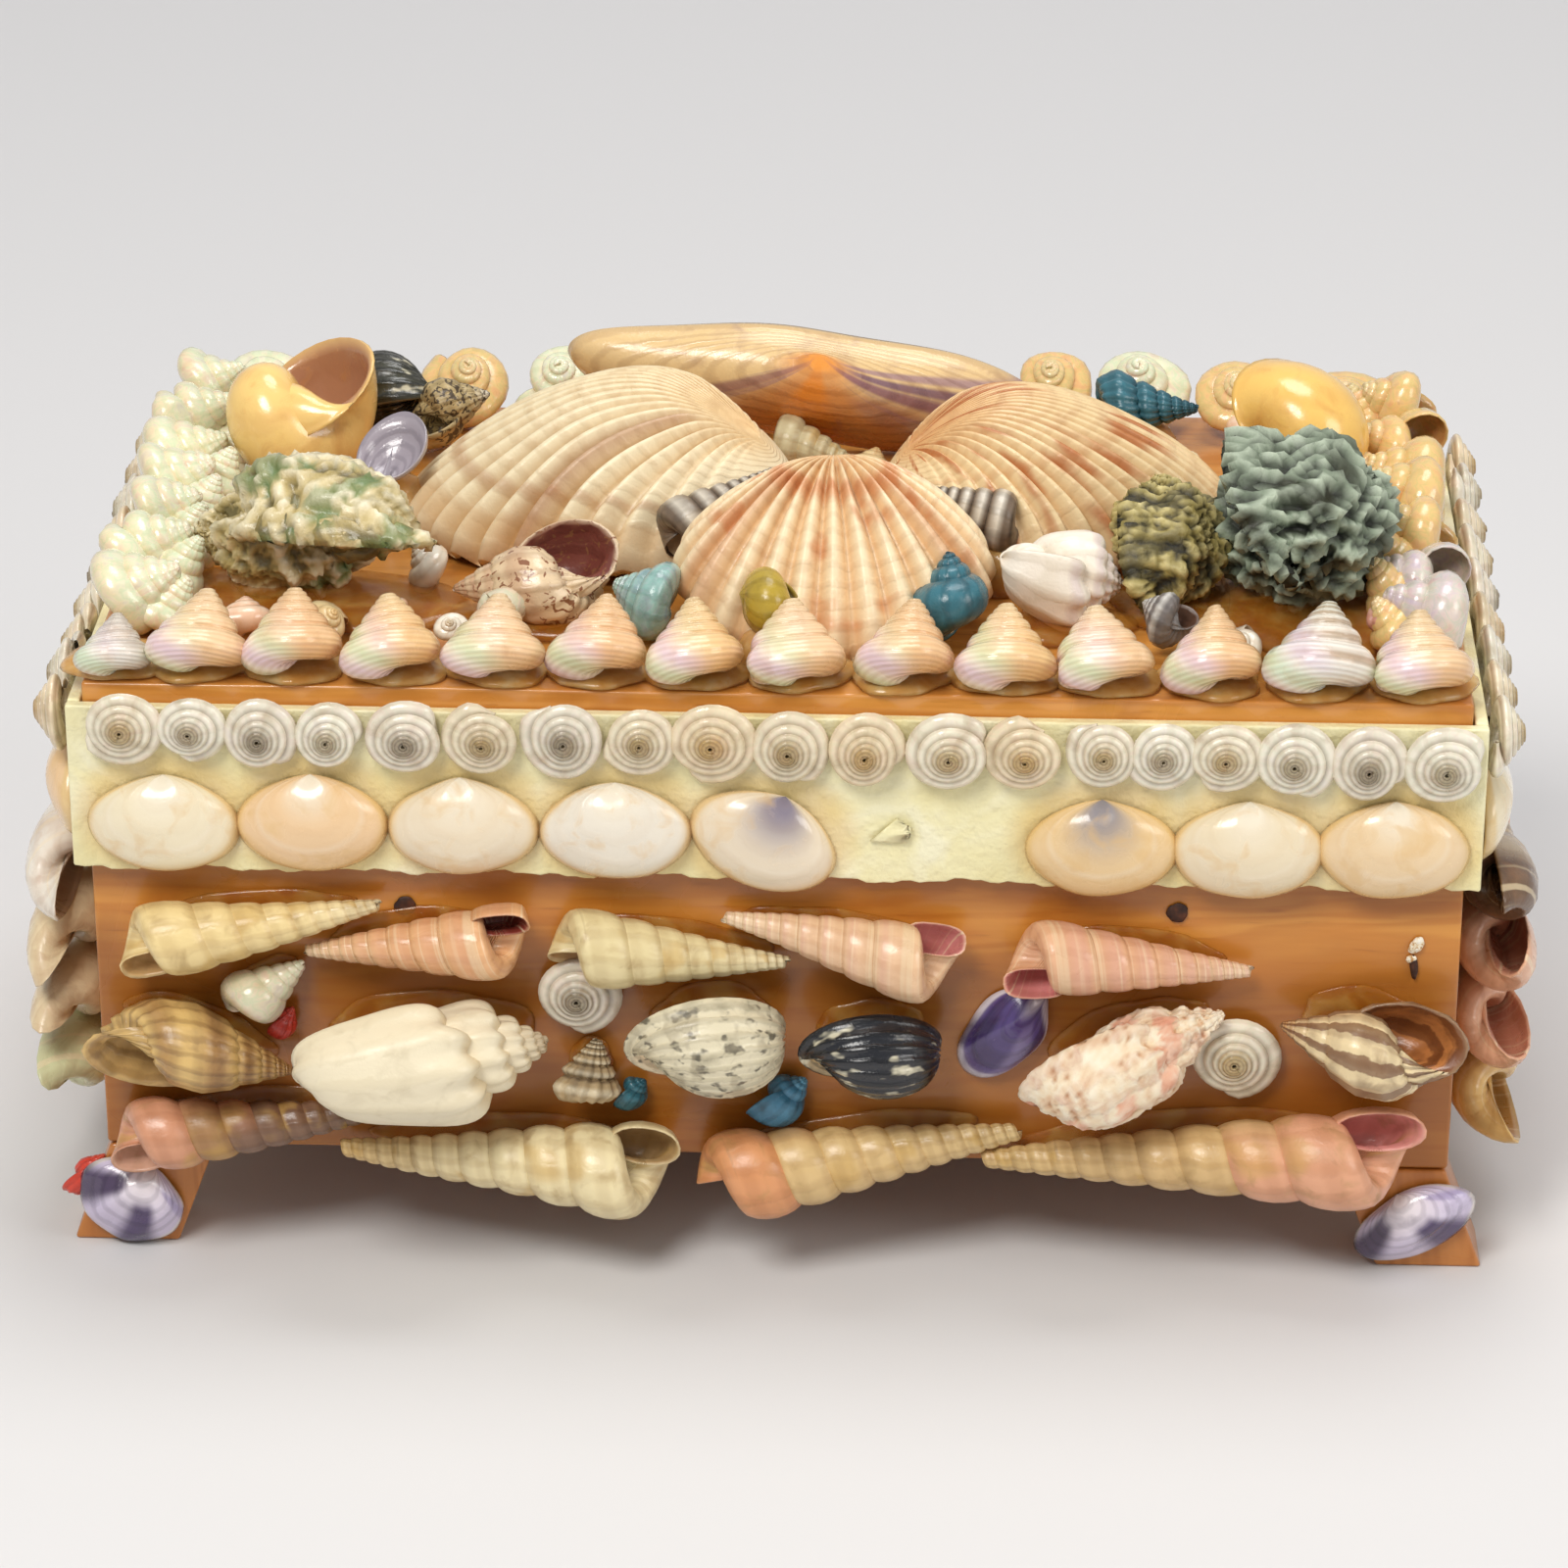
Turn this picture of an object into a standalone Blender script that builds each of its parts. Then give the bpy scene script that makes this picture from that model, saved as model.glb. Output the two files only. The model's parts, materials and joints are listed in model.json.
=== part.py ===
# A wooden trinket box on four splayed legs, with a lift-off lid, covered in sea shells.
# Metres. X runs to the right, Y to the back and Z up, and the legs stand on Z = 0.
import math

import bpy
import numpy as np

# Driving dimensions of the woodwork
BODY_WIDTH = 0.180
BODY_DEPTH = 0.100
BODY_HEIGHT = 0.0627
WALL = 0.006
FLOOR = 0.004
LEG_HEIGHT = 0.015
LEG_WIDTH = 0.0142
LEG_DEPTH = 0.010
LEG_SPLAY = 0.0055
LID_BOARD = 0.005
LID_EDGE = 0.0025        # how much of the lid board shows above the skirt
SKIRT_HEIGHT = 0.023
SKIRT_BOARD = 0.0017
FIT = 0.0003             # gap between pieces that rest on or beside each other
RELIEF = 0.001           # how far one layout unit of a shell stands out of its panel

# Heights and reaches that follow from them
HALF_WIDTH = BODY_WIDTH / 2
HALF_DEPTH = BODY_DEPTH / 2
WALL_TOP = LEG_HEIGHT + BODY_HEIGHT
LID_FOOT = WALL_TOP + FIT
LID_TOP = LID_FOOT + LID_BOARD
SKIRT_TOP = LID_TOP - LID_EDGE
SKIRT_FOOT = SKIRT_TOP - SKIRT_HEIGHT
SKIRT_FACE = FIT + SKIRT_BOARD

# Finishes: colour and roughness
PINE = ((0.62, 0.32, 0.11), 0.35)
CREAM_CARD = ((0.86, 0.84, 0.58), 0.6)
PEARL = ((0.86, 0.78, 0.60), 0.2)
CREAM = ((0.87, 0.78, 0.60), 0.35)
PEACH = ((0.84, 0.60, 0.45), 0.35)
WHITE = ((0.88, 0.86, 0.80), 0.3)
BROWN = ((0.48, 0.33, 0.22), 0.4)
BLACK = ((0.07, 0.07, 0.09), 0.3)
PURPLE = ((0.42, 0.34, 0.44), 0.35)
YELLOW = ((0.85, 0.62, 0.28), 0.3)
GREEN_GREY = ((0.38, 0.40, 0.32), 0.7)

# Outlines of the kinds of snail. Along a shell 0 is the base and 1 the tip: `widest` is where it is
# widest, `foot` the share of that width left at the base, `power` bends the spire (under 1 it bulges),
# `pinch` is how deep the sutures cut, `hollow` how far the mouth runs in and `ribs` the fold height.
TURRET = dict(widest=0.05, foot=0.86, power=0.80, whorls=4, pinch=0.17, sides=8, hollow=0.10)
SIDE_SNAIL = dict(widest=0.18, foot=0.7, power=0.75, whorls=1, pinch=0.16, sides=6)
WHELK = dict(widest=0.44, foot=0.40, power=0.80, whorls=2, pinch=0.14, sides=8, ribs=0.04)
CONCH = dict(widest=0.50, foot=0.28, power=0.80, whorls=3, pinch=0.16, sides=12, ribs=0.07)
TOP_SNAIL = dict(widest=0.30, foot=0.55, power=0.90, whorls=2, pinch=0.14, sides=6)
DROP = dict(widest=0.30, foot=0.55, power=0.85, whorls=1, pinch=0.10, sides=7)
NERITE = dict(widest=0.50, foot=0.42, power=0.55, whorls=1, pinch=0.03, sides=10, ribs=0.02)
MOON = dict(widest=0.46, foot=0.60, power=0.55, whorls=2, pinch=0.07, sides=10)
ROUGH = dict(widest=0.42, foot=0.62, power=0.6, whorls=3, pinch=0.16, sides=12, ribs=0.12)
OYSTER = dict(widest=0.40, foot=0.52, power=0.55, whorls=2, pinch=0.14, sides=10, ribs=0.08)
BUTTON = dict(widest=0.0, foot=1.0, power=0.62, whorls=0, pinch=0.0, sides=6)
BACK_PEARL = dict(widest=0.20, foot=0.70, power=0.80, whorls=0, pinch=0.0, sides=6)


class Panel:
    # A flat face that carries shells. A shell's place on it is in layout units: `reach` of them run
    # from its middle to its end, `rise` of them up it, and each stands out of it by RELIEF.
    def __init__(self, foot, across, up, out, reach, rise):
        self.foot = np.array(foot)
        self.across = np.array(across) / reach
        self.up = np.array(up) / rise
        self.out = np.array(out) * RELIEF

    def place(self, layout):
        return (self.foot + layout[..., :1] * self.across + layout[..., 1:2] * self.up
                + layout[..., 2:] * self.out)


BAND = SKIRT_FOOT - LEG_HEIGHT
FRONT = Panel((0, -HALF_DEPTH - FIT, LEG_HEIGHT), (HALF_WIDTH, 0, 0), (0, 0, BAND), (0, -1, 0), 90, 42.5)
BACK = Panel((0, HALF_DEPTH + FIT, LEG_HEIGHT), (-HALF_WIDTH, 0, 0), (0, 0, BAND), (0, 1, 0), 90, 42.5)
LEFT = Panel((-HALF_WIDTH - FIT, 0, LEG_HEIGHT), (0, -HALF_DEPTH, 0), (0, 0, BAND), (-1, 0, 0), 50, 42.5)
RIGHT = Panel((HALF_WIDTH + FIT, 0, LEG_HEIGHT), (0, HALF_DEPTH, 0), (0, 0, BAND), (1, 0, 0), 50, 42.5)
SKIRT_SPAN = HALF_WIDTH + SKIRT_FACE
SKIRT_RUN = HALF_DEPTH + SKIRT_FACE
SKIRT_UP = (0, 0, SKIRT_HEIGHT)
SKIRT_FRONT = Panel((0, -SKIRT_RUN - FIT, SKIRT_FOOT), (SKIRT_SPAN, 0, 0), SKIRT_UP, (0, -1, 0), 92, 23)
SKIRT_BACK = Panel((0, SKIRT_RUN + FIT, SKIRT_FOOT), (-SKIRT_SPAN, 0, 0), SKIRT_UP, (0, 1, 0), 92, 23)
SKIRT_LEFT = Panel((-SKIRT_SPAN - FIT, 0, SKIRT_FOOT), (0, -SKIRT_RUN, 0), SKIRT_UP, (-1, 0, 0), 52, 23)
SKIRT_RIGHT = Panel((SKIRT_SPAN + FIT, 0, SKIRT_FOOT), (0, SKIRT_RUN, 0), SKIRT_UP, (1, 0, 0), 52, 23)
LEG_FRONT = Panel((0, -HALF_DEPTH - FIT, 0), (HALF_WIDTH, 0, 0), (0, 0, LEG_HEIGHT), (0, -1, 0), 90, 15)
LID = Panel((0, 0, LID_TOP + FIT), (HALF_WIDTH, 0, 0), (0, HALF_DEPTH, 0), (0, 0, 1), 90, 50)

# Corners of a box counted with X slowest and Z fastest
BOX_FACES = [(0, 1, 3, 2), (4, 6, 7, 5), (0, 4, 5, 1), (2, 3, 7, 6), (0, 2, 6, 4), (1, 5, 7, 3)]


def finish_material(name, finish):
    colour, roughness = finish
    material = bpy.data.materials.new(name)
    material.use_nodes = True
    shader = material.node_tree.nodes["Principled BSDF"]
    shader.inputs["Base Color"].default_value = (*colour, 1.0)
    shader.inputs["Roughness"].default_value = roughness
    shader.inputs["Metallic"].default_value = 0.0
    material.diffuse_color = (*colour, 1.0)
    return material


def add_object(name, points, faces, finish):
    mesh = bpy.data.meshes.new(name)
    mesh.from_pydata([tuple(p) for p in points], [], faces)
    mesh.materials.append(finish_material(name, finish))
    piece = bpy.data.objects.new(name, mesh)
    bpy.context.scene.collection.objects.link(piece)
    return piece


def board(name, low, high, finish=PINE):
    corners = [(x, y, z) for x in (low[0], high[0]) for y in (low[1], high[1]) for z in (low[2], high[2])]
    return add_object(name, corners, BOX_FACES, finish)


def closed_grid(rings, first, last):
    # A closed skin over rings of points, one after the other, with a fan at each end.
    count, sides = rings.shape[:2]
    points = np.concatenate([[first], rings.reshape(-1, 3), [last]])
    end = len(points) - 1
    around = [(j, (j + 1) % sides) for j in range(sides)]
    faces = [(0, 1 + k, 1 + j) for j, k in around]
    for i in range(count - 1):
        low, high = 1 + i * sides, 1 + (i + 1) * sides
        faces += [(low + j, low + k, high + k, high + j) for j, k in around]
    top = 1 + (count - 1) * sides
    faces += [(top + j, top + k, end) for j, k in around]
    return points, faces


def facing_out(points, faces):
    # Turns every face over if the skin encloses a negative volume.
    volume = sum(
        np.dot(points[f[0]], np.cross(points[f[i]], points[f[i + 1]]))
        for f in faces for i in range(1, len(f) - 1)
    )
    return faces if volume > 0 else [tuple(reversed(f)) for f in faces]


def snail(length, width, widest, foot, power, whorls, pinch, sides, hollow=0.0, ribs=0.0):
    # A coiled shell on its own axis. Its width follows a quarter sine from the base to the widest
    # place and a power curve from there to the tip. Each whorl is shorter than the last and has a
    # suture before it and a belly after it, and those rings lean as the turns of a screw do.
    shrink, suture, belly, lean = 0.80, 0.88, 1.25, 0.16
    rings = [] if widest == 0 else [(0.0, foot, 0.0)]
    if widest > 0.35:
        shoulder = 0.45
        rings.append((widest * shoulder, foot + (1 - foot) * math.sin(math.pi / 2 * shoulder), 0.0))
    rings.append((widest, 1.0, 0.0))
    total = sum(shrink ** i for i in range(whorls + 1))
    at = widest
    for i in range(whorls):
        step = (1 - widest) * shrink ** i / total
        for place, scale in ((at + step * suture, 1 - pinch), (at + step * belly, 1.0)):
            rings.append((place, scale * ((1 - place) / (1 - widest)) ** power, lean))
        at += step
    if whorls == 0:
        rings.append(((1 + widest) / 2, 0.5 ** power, 0.0))
    share, scale, tilt = (np.array(values)[:, None] for values in zip(*rings))
    angle = 2 * math.pi * np.arange(sides)[None] / sides
    fold = 1 + ribs * np.where(np.arange(sides) % 2, 1, -1)[None] * np.clip(scale * 2, 0, 1)
    radius = width / 2 * scale * fold
    forward = length * share + width * tilt * scale * np.cos(angle)
    skin = np.stack([forward, radius * np.cos(angle), radius * np.sin(angle)], axis=-1)
    return skin, (length * hollow, 0, 0), (length, 0, 0)


def valve(length, width, height, ribs, rows, fold=0.06, skew=0.35):
    # Half of a bivalve, hollow side down, with its beak near the origin. The rows run from the beak
    # to an elliptical margin and every second column of points is a rib. The dome is highest on the
    # beak's side of the middle.
    overhang, rim, fullness = 0.10 * length, 0.03 * height, 0.6
    turn = 2 * math.pi * np.arange(2 * ribs)[None] / (2 * ribs)
    middle, reach = (length - overhang) / 2, (length + overhang) / 2
    share = (np.arange(1, rows + 1)[:, None] / rows) ** 0.8
    rib = np.where(np.arange(2 * ribs) % 2, 1, -1)[None] * fold * np.clip(np.cos(turn) + 0.6, 0, 1)
    x = share * (middle + reach * np.cos(turn))
    y = share * width / 2 * np.sin(turn)
    along = (x - middle) / reach
    dome = np.clip(1 - along ** 2 - (y / (width / 2)) ** 2, 0, 1) ** fullness * (1 - skew * along)
    beak = height * (1 - (middle / reach) ** 2) ** fullness * (1 + skew * middle / reach)
    wave = 1 + rib * 0.3
    skin = np.stack([x * wave, y * wave, height * dome * (1 + rib) + rim], axis=-1)[::-1]
    return skin, (middle, 0, height * 0.16), (0, 0, beak)


def set_down(panel, shape, start, towards):
    # Puts a shape on a panel: its own X axis runs from start towards a second point and its Z axis
    # looks out of the panel, or down it where the shape stands on end. The shape then moves in or
    # out until its lowest point touches.
    rings, first, last = shape
    start, towards = np.array(start, float), np.array(towards, float)
    along = (towards - start) / np.linalg.norm(towards - start)
    steep = abs(along[2]) > 0.9
    look = np.array([0.0, -1.0, 0.0]) if steep else np.array([0.0, 0.0, 1.0])
    out = look - along * np.dot(look, along)
    out /= np.linalg.norm(out)
    side = np.cross(out, along)
    points, faces = closed_grid(rings, first, last)
    layout = start + points @ np.array([along, side, out])
    layout[:, 2] -= layout[:, 2].min()
    placed = panel.place(layout)
    return placed, facing_out(placed, faces)


def lying_snail(panel, base, tip, width, kind, drop=0.35):
    # A snail lying on a panel with its side against it. base and tip are places on the panel, and
    # drop is how far the tip leans in, as a share of the width.
    start, end = (*base, width * drop), (*tip, 0.0)
    shape = snail(math.dist(start, end), width, **kind)
    return set_down(panel, shape, start, end)


def button(panel, middle, width, height=None):
    # A top shell set flat side down, so that its spiral looks out of the panel.
    height = height or width * 0.42
    shape = snail(height, width, **BUTTON)
    return set_down(panel, shape, (*middle, 0.0), (*middle, height))


def button_line(panel, places, height, at):
    # Buttons along a row, each as wide as its room, so that neighbours just touch. at gives how
    # high on the panel each one sits.
    gaps = np.diff(places)
    room = (np.append(gaps[:1], gaps) + np.append(gaps, gaps[-1:])) / 2 + 0.9
    return [button(panel, (u, at(u)), width, height) for u, width in zip(places, room)]


def clam(panel, middle, length, width, angle=90.0, height=None):
    # A small valve flat on a panel. angle is where its beak points, anticlockwise from +X.
    height = height or width * 0.17
    way = np.array([math.cos(math.radians(angle)), math.sin(math.radians(angle))])
    beak = np.array(middle) + way * length * 0.45
    far = beak - way * length
    shape = valve(length, width, height, ribs=4, rows=2, fold=0.0)
    return set_down(panel, shape, (*beak, 0.0), (*far, 0.0))


def glue_scar(panel, low, high, thickness):
    # The film of glue that a lost shell left behind.
    corners = [(u, v, w) for u in (low[0], high[0]) for v in (low[1], high[1]) for w in (0, thickness)]
    placed = panel.place(np.array(corners, float))
    return placed, facing_out(placed, BOX_FACES)


def single(name, shell, finish):
    points, faces = shell
    return add_object(name, points, faces, finish)


def merged(shells):
    points, faces, count = [], [], 0
    for part_points, part_faces in shells:
        points.append(part_points)
        faces += [tuple(i + count for i in face) for face in part_faces]
        count += len(part_points)
    return np.concatenate(points), faces


def fused_rows(name, rows, finish):
    # Shells that touch their neighbours become one body. Every second shell of a row is joined in
    # one go, since those don't touch each other.
    groups = [group for row in rows for group in (row[0::2], row[1::2])]
    piece = add_object(name, *merged(groups[0]), finish)
    for i, group in enumerate(groups[1:], start=1):
        others = add_object(f"{name}_{i}", *merged(group), finish)
        others.hide_render = True
        others.display_type = "WIRE"
        join = piece.modifiers.new(f"join_{i}", "BOOLEAN")
        join.operation = "UNION"
        join.solver = "EXACT"
        join.object = others
    return piece


def make_body():
    inner_width, inner_depth = HALF_WIDTH - WALL, HALF_DEPTH - WALL
    foot, top = LEG_HEIGHT, WALL_TOP
    board("body_front", (-HALF_WIDTH, -HALF_DEPTH, foot), (HALF_WIDTH, -inner_depth, top))
    board("body_back", (-HALF_WIDTH, inner_depth, foot), (HALF_WIDTH, HALF_DEPTH, top))
    side_run = inner_depth - FIT
    board("body_left", (-HALF_WIDTH, -side_run, foot), (-inner_width, side_run, top))
    board("body_right", (inner_width, -side_run, foot), (HALF_WIDTH, side_run, top))
    floor_half = inner_width - FIT
    board("body_floor", (-floor_half, -side_run, foot), (floor_half, side_run, foot + FLOOR))


def make_legs():
    # Each leg is a short board under a corner, sheared so that its foot stands further out.
    for end, way in (("left", -1), ("right", 1)):
        for face, y_low in (("front", -HALF_DEPTH), ("back", HALF_DEPTH - LEG_DEPTH)):
            top_x = HALF_WIDTH - FIT
            points = []
            for y in (y_low, y_low + LEG_DEPTH):
                for z, splay in ((0.0, LEG_SPLAY), (LEG_HEIGHT - FIT, 0.0)):
                    points += [(way * (top_x + splay - LEG_WIDTH), y, z), (way * (top_x + splay), y, z)]
            points = np.array(points)
            add_object(f"leg_{face}_{end}", points, facing_out(points, BOX_FACES), PINE)


def make_lid():
    board("lid_board", (-HALF_WIDTH, -HALF_DEPTH, LID_FOOT), (HALF_WIDTH, HALF_DEPTH, LID_TOP))
    near = HALF_DEPTH + FIT
    board("skirt_front", (-SKIRT_SPAN, -SKIRT_RUN, SKIRT_FOOT), (SKIRT_SPAN, -near, SKIRT_TOP), CREAM_CARD)
    board("skirt_back", (-SKIRT_SPAN, near, SKIRT_FOOT), (SKIRT_SPAN, SKIRT_RUN, SKIRT_TOP), CREAM_CARD)
    inner, run = HALF_WIDTH + FIT, HALF_DEPTH
    board("skirt_left", (-SKIRT_SPAN, -run, SKIRT_FOOT), (-inner, run, SKIRT_TOP), CREAM_CARD)
    board("skirt_right", (inner, -run, SKIRT_FOOT), (SKIRT_SPAN, run, SKIRT_TOP), CREAM_CARD)


def make_upper_turrets():
    places = (
        ("turret_upper_1", (-86.4, 32.2), (-51.4, 37.6), 10.6, CREAM),
        ("turret_upper_2", (-31.2, 34.8), (-62.0, 31.2), 10.4, PEACH),
        ("turret_upper_3", (-29.4, 33.8), (2.2, 30.9), 10.4, CREAM),
        ("turret_upper_4", (24.4, 31.0), (-6.8, 36.8), 10.4, PEACH),
        ("turret_upper_5", (30.4, 33.6), (63.0, 30.2), 10.4, PEACH),
    )
    for name, base, tip, width, finish in places:
        single(name, lying_snail(FRONT, base, tip, width, TURRET), finish)


def make_lower_turrets():
    places = (
        ("turret_lower_1", (-89.0, 3.4), (-50.8, 7.2), 10.8, PEACH),
        ("turret_lower_2", (-12.2, 1.2), (-58.0, 2.2), 13.4, CREAM),
        ("turret_lower_3", (-10.4, -0.5), (33.0, 6.2), 12.4, PEACH),
        ("turret_lower_4", (86.6, 5.9), (27.5, 2.4), 14.2, CREAM),
    )
    for name, base, tip, width, finish in places:
        single(name, lying_snail(FRONT, base, tip, width, TURRET), finish)


def make_front_middle():
    single("whelk_left", lying_snail(FRONT, (-90.6, 21.4), (-63.6, 13.4), 13.4, WHELK), BROWN)
    single("pearl_drop", lying_snail(FRONT, (-72.0, 22.2), (-62.2, 29.2), 8.4, DROP), PEARL)
    single("ribbed_conch", lying_snail(FRONT, (-62.6, 17.0), (-29.6, 20.0), 18.0, CONCH), WHITE)
    single("small_button", button(FRONT, (-24.4, 24.2), 10.0), PEARL)
    single("beaded_snail", lying_snail(FRONT, (-25.4, 10.2), (-22.9, 18.4), 7.0, TOP_SNAIL), BROWN)
    single("flecked_nerite", lying_snail(FRONT, (-19.0, 20.8), (2.0, 21.4), 15.0, NERITE), CREAM)
    single("black_nerite", lying_snail(FRONT, (3.6, 20.2), (22.4, 19.4), 12.8, NERITE), BLACK)
    fragment = clam(FRONT, (31.0, 20.6), 16.0, 9.6, angle=52, height=3.0)
    single("purple_clam", fragment, PURPLE)
    single("worn_whelk", lying_snail(FRONT, (33.8, 13.0), (59.0, 25.6), 14.4, WHELK), PEACH)
    single("pearl_button", button(FRONT, (61.2, 17.0), 12.0), PEARL)
    single("striped_whelk", lying_snail(FRONT, (90.4, 19.6), (66.8, 24.6), 13.8, WHELK), BROWN)
    left_clam = clam(LEG_FRONT, (-86.6, 6.8), 10.8, 14.6, angle=80, height=3.6)
    single("foot_clam_left", left_clam, PURPLE)
    right_clam = clam(LEG_FRONT, (85.6, 7.4), 9.0, 16.4, angle=110, height=3.4)
    single("foot_clam_right", right_clam, PURPLE)


def make_front_rows():
    pearls = []
    for i, u in enumerate((-85.8, -75.0, -62.6, -49.4, -36.4, -23.3, -10.1, 3.0, 16.3, 29.5, 42.8, 56.2,
                           69.8, 83.4)):
        width = 10.6 if i == 0 else 14.2
        shape = snail(width * 0.80, width, **TOP_SNAIL)
        pearls.append(set_down(LID, shape, (u, -50.6, 0.0), (u, -42.5, 7.0)))
    fused_rows("pearl_row_front", [pearls], PEARL)
    places = (-84.1, -75.2, -66.3, -57.4, -47.9, -38.0, -27.4, -17.2, -7.6, 2.3, 12.2, 22.2, 32.0,
              42.2, 50.0, 58.6, 67.4, 76.9, 86.2)
    buttons = button_line(SKIRT_FRONT, places, 4.0, lambda u: 20.6 - 0.011 * (u + 84))
    fused_rows("button_row_front", [buttons], PEARL)
    clams = []
    for u in (-79.6, -60.2, -40.6, -20.6):
        clams.append(clam(SKIRT_FRONT, (u, 7.6), 13.2, 21.0, angle=90))
    clams.append(clam(SKIRT_FRONT, (-1.0, 7.4), 13.6, 21.6, angle=74))
    clams.append(glue_scar(SKIRT_FRONT, (6.0, 6.0), (36.0, 10.0), 0.5))
    clams += [clam(SKIRT_FRONT, (u, 7.2), 13.2, 20.4, angle=90) for u in (42.6, 61.6, 80.4)]
    fused_rows("clam_row_front", [clams], CREAM)


def make_lid_valves():
    # Three ribbed valves with their beaks together and a wedge-shaped one standing behind them.
    left = valve(50.0, 40.0, 18.0, ribs=14, rows=4)
    single("cockle_left", set_down(LID, left, (-3.0, -1.6, 3.0), (-50.8, 7.2, 0.5)), CREAM)
    right = valve(46.0, 38.0, 16.4, ribs=14, rows=4)
    single("cockle_right", set_down(LID, right, (15.4, -1.4, 3.0), (59.2, 8.6, 0.5)), PEACH)
    front = valve(31.0, 42.0, 11.0, ribs=14, rows=4)
    single("cockle_front", set_down(LID, front, (6.4, -12.0, 11.6), (7.2, -40.0, 0.4)), CREAM)
    wedge = valve(18.0, 71.0, 7.0, ribs=7, rows=2, fold=0.0)
    single("wedge_clam", set_down(LID, wedge, (3.4, 31.0, 17.6), (1.4, 35.0, 1.4)), PURPLE)


def make_lid_snails():
    single("moon_snail_left", lying_snail(LID, (-58.6, 13.0), (-77.0, 22.6), 19.6, MOON), YELLOW)
    single("moon_snail_right", lying_snail(LID, (61.6, 17.0), (80.0, 25.6), 17.0, MOON), YELLOW)
    single("dark_nerite", lying_snail(LID, (-51.6, 34.2), (-65.4, 37.4), 12.4, NERITE), BLACK)
    single("oyster", lying_snail(LID, (-44.6, -27.0), (-79.6, -19.0), 20.0, OYSTER, drop=0.1), GREEN_GREY)
    single("murex", lying_snail(LID, (68.8, -36.0), (69.4, -3.0), 23.8, ROUGH, drop=-0.1), GREEN_GREY)
    single("turban", lying_snail(LID, (51.4, -27.0), (50.8, -9.0), 13.6, ROUGH, drop=-0.8), GREEN_GREY)
    single("white_conch", lying_snail(LID, (28.8, -29.0), (45.0, -26.0), 13.0, CONCH), WHITE)
    single("open_whelk", lying_snail(LID, (-20.8, -30.4), (-43.6, -27.0), 13.0, WHELK), BROWN)


def make_lid_rows():
    for name, way in (("pearl_row_left", -1), ("pearl_row_right", 1)):
        snails = []
        for i in range(7):
            v = -33.0 + 12.0 * i
            shape = snail(10.5, 12.9, **SIDE_SNAIL)
            snails.append(set_down(LID, shape, (way * 90.0, v, 0.0), (way * 81.0, v + 0.6, 4.2)))
        fused_rows(name, [snails], PEARL)
    snails = []
    for i in range(12):
        u = -77.0 + 14.0 * i
        shape = snail(8.5, 14.9, **BACK_PEARL)
        snails.append(set_down(LID, shape, (u, 47.0, 0.0), (u, 44.0, 5.0)))
    fused_rows("pearl_row_back", [snails], PEARL)


def make_skirt_rows():
    for name, panel in (("skirt_shells_left", SKIRT_LEFT), ("skirt_shells_right", SKIRT_RIGHT)):
        buttons = button_line(panel, [-45.5 + 11.4 * i for i in range(9)], 5.0, lambda u: 19.4)
        clams = [clam(panel, (-40 + 20 * i, 7.8), 14.4, 21.4) for i in range(5)]
        fused_rows(name, [buttons, clams], PEARL)
    shells = [clam(SKIRT_BACK, (-80 + 20 * i, 11.0), 16.0, 21.6) for i in range(9)]
    fused_rows("skirt_shells_back", [shells], CREAM)


def make_body_sides():
    # Four rows of long snails on each end, nose to tail, and two rows of larger ones on the back.
    for name, panel in (("body_shells_left", LEFT), ("body_shells_right", RIGHT)):
        front = 1 if panel is LEFT else -1
        rows = []
        for v in (36.0, 26.0, 16.0, 6.0):
            ends = (((front * 49, v), (-front, v)), ((front, v), (-front * 49, v)))
            rows.append([lying_snail(panel, base, tip, 10.8, SIDE_SNAIL, drop=0.15) for base, tip in ends])
        fused_rows(name, rows, PEACH)
    rows = []
    for v in (31.6, 13.0):
        ends = [((-88 + 44 * i, v), (-41.5 + 44 * i, v)) for i in range(4)]
        rows.append([lying_snail(BACK, base, tip, 19.6, SIDE_SNAIL, drop=0.15) for base, tip in ends])
    fused_rows("body_shells_back", rows, CREAM)


def main():
    for old in list(bpy.data.objects):
        bpy.data.objects.remove(old)
    make_body()
    make_legs()
    make_lid()
    make_upper_turrets()
    make_lower_turrets()
    make_front_middle()
    make_front_rows()
    make_lid_valves()
    make_lid_snails()
    make_lid_rows()
    make_skirt_rows()
    make_body_sides()


main()
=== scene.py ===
# Looks of the shell box: every shell is rebuilt as a fine surface over its plain CAD solid.
import json
import math

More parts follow.
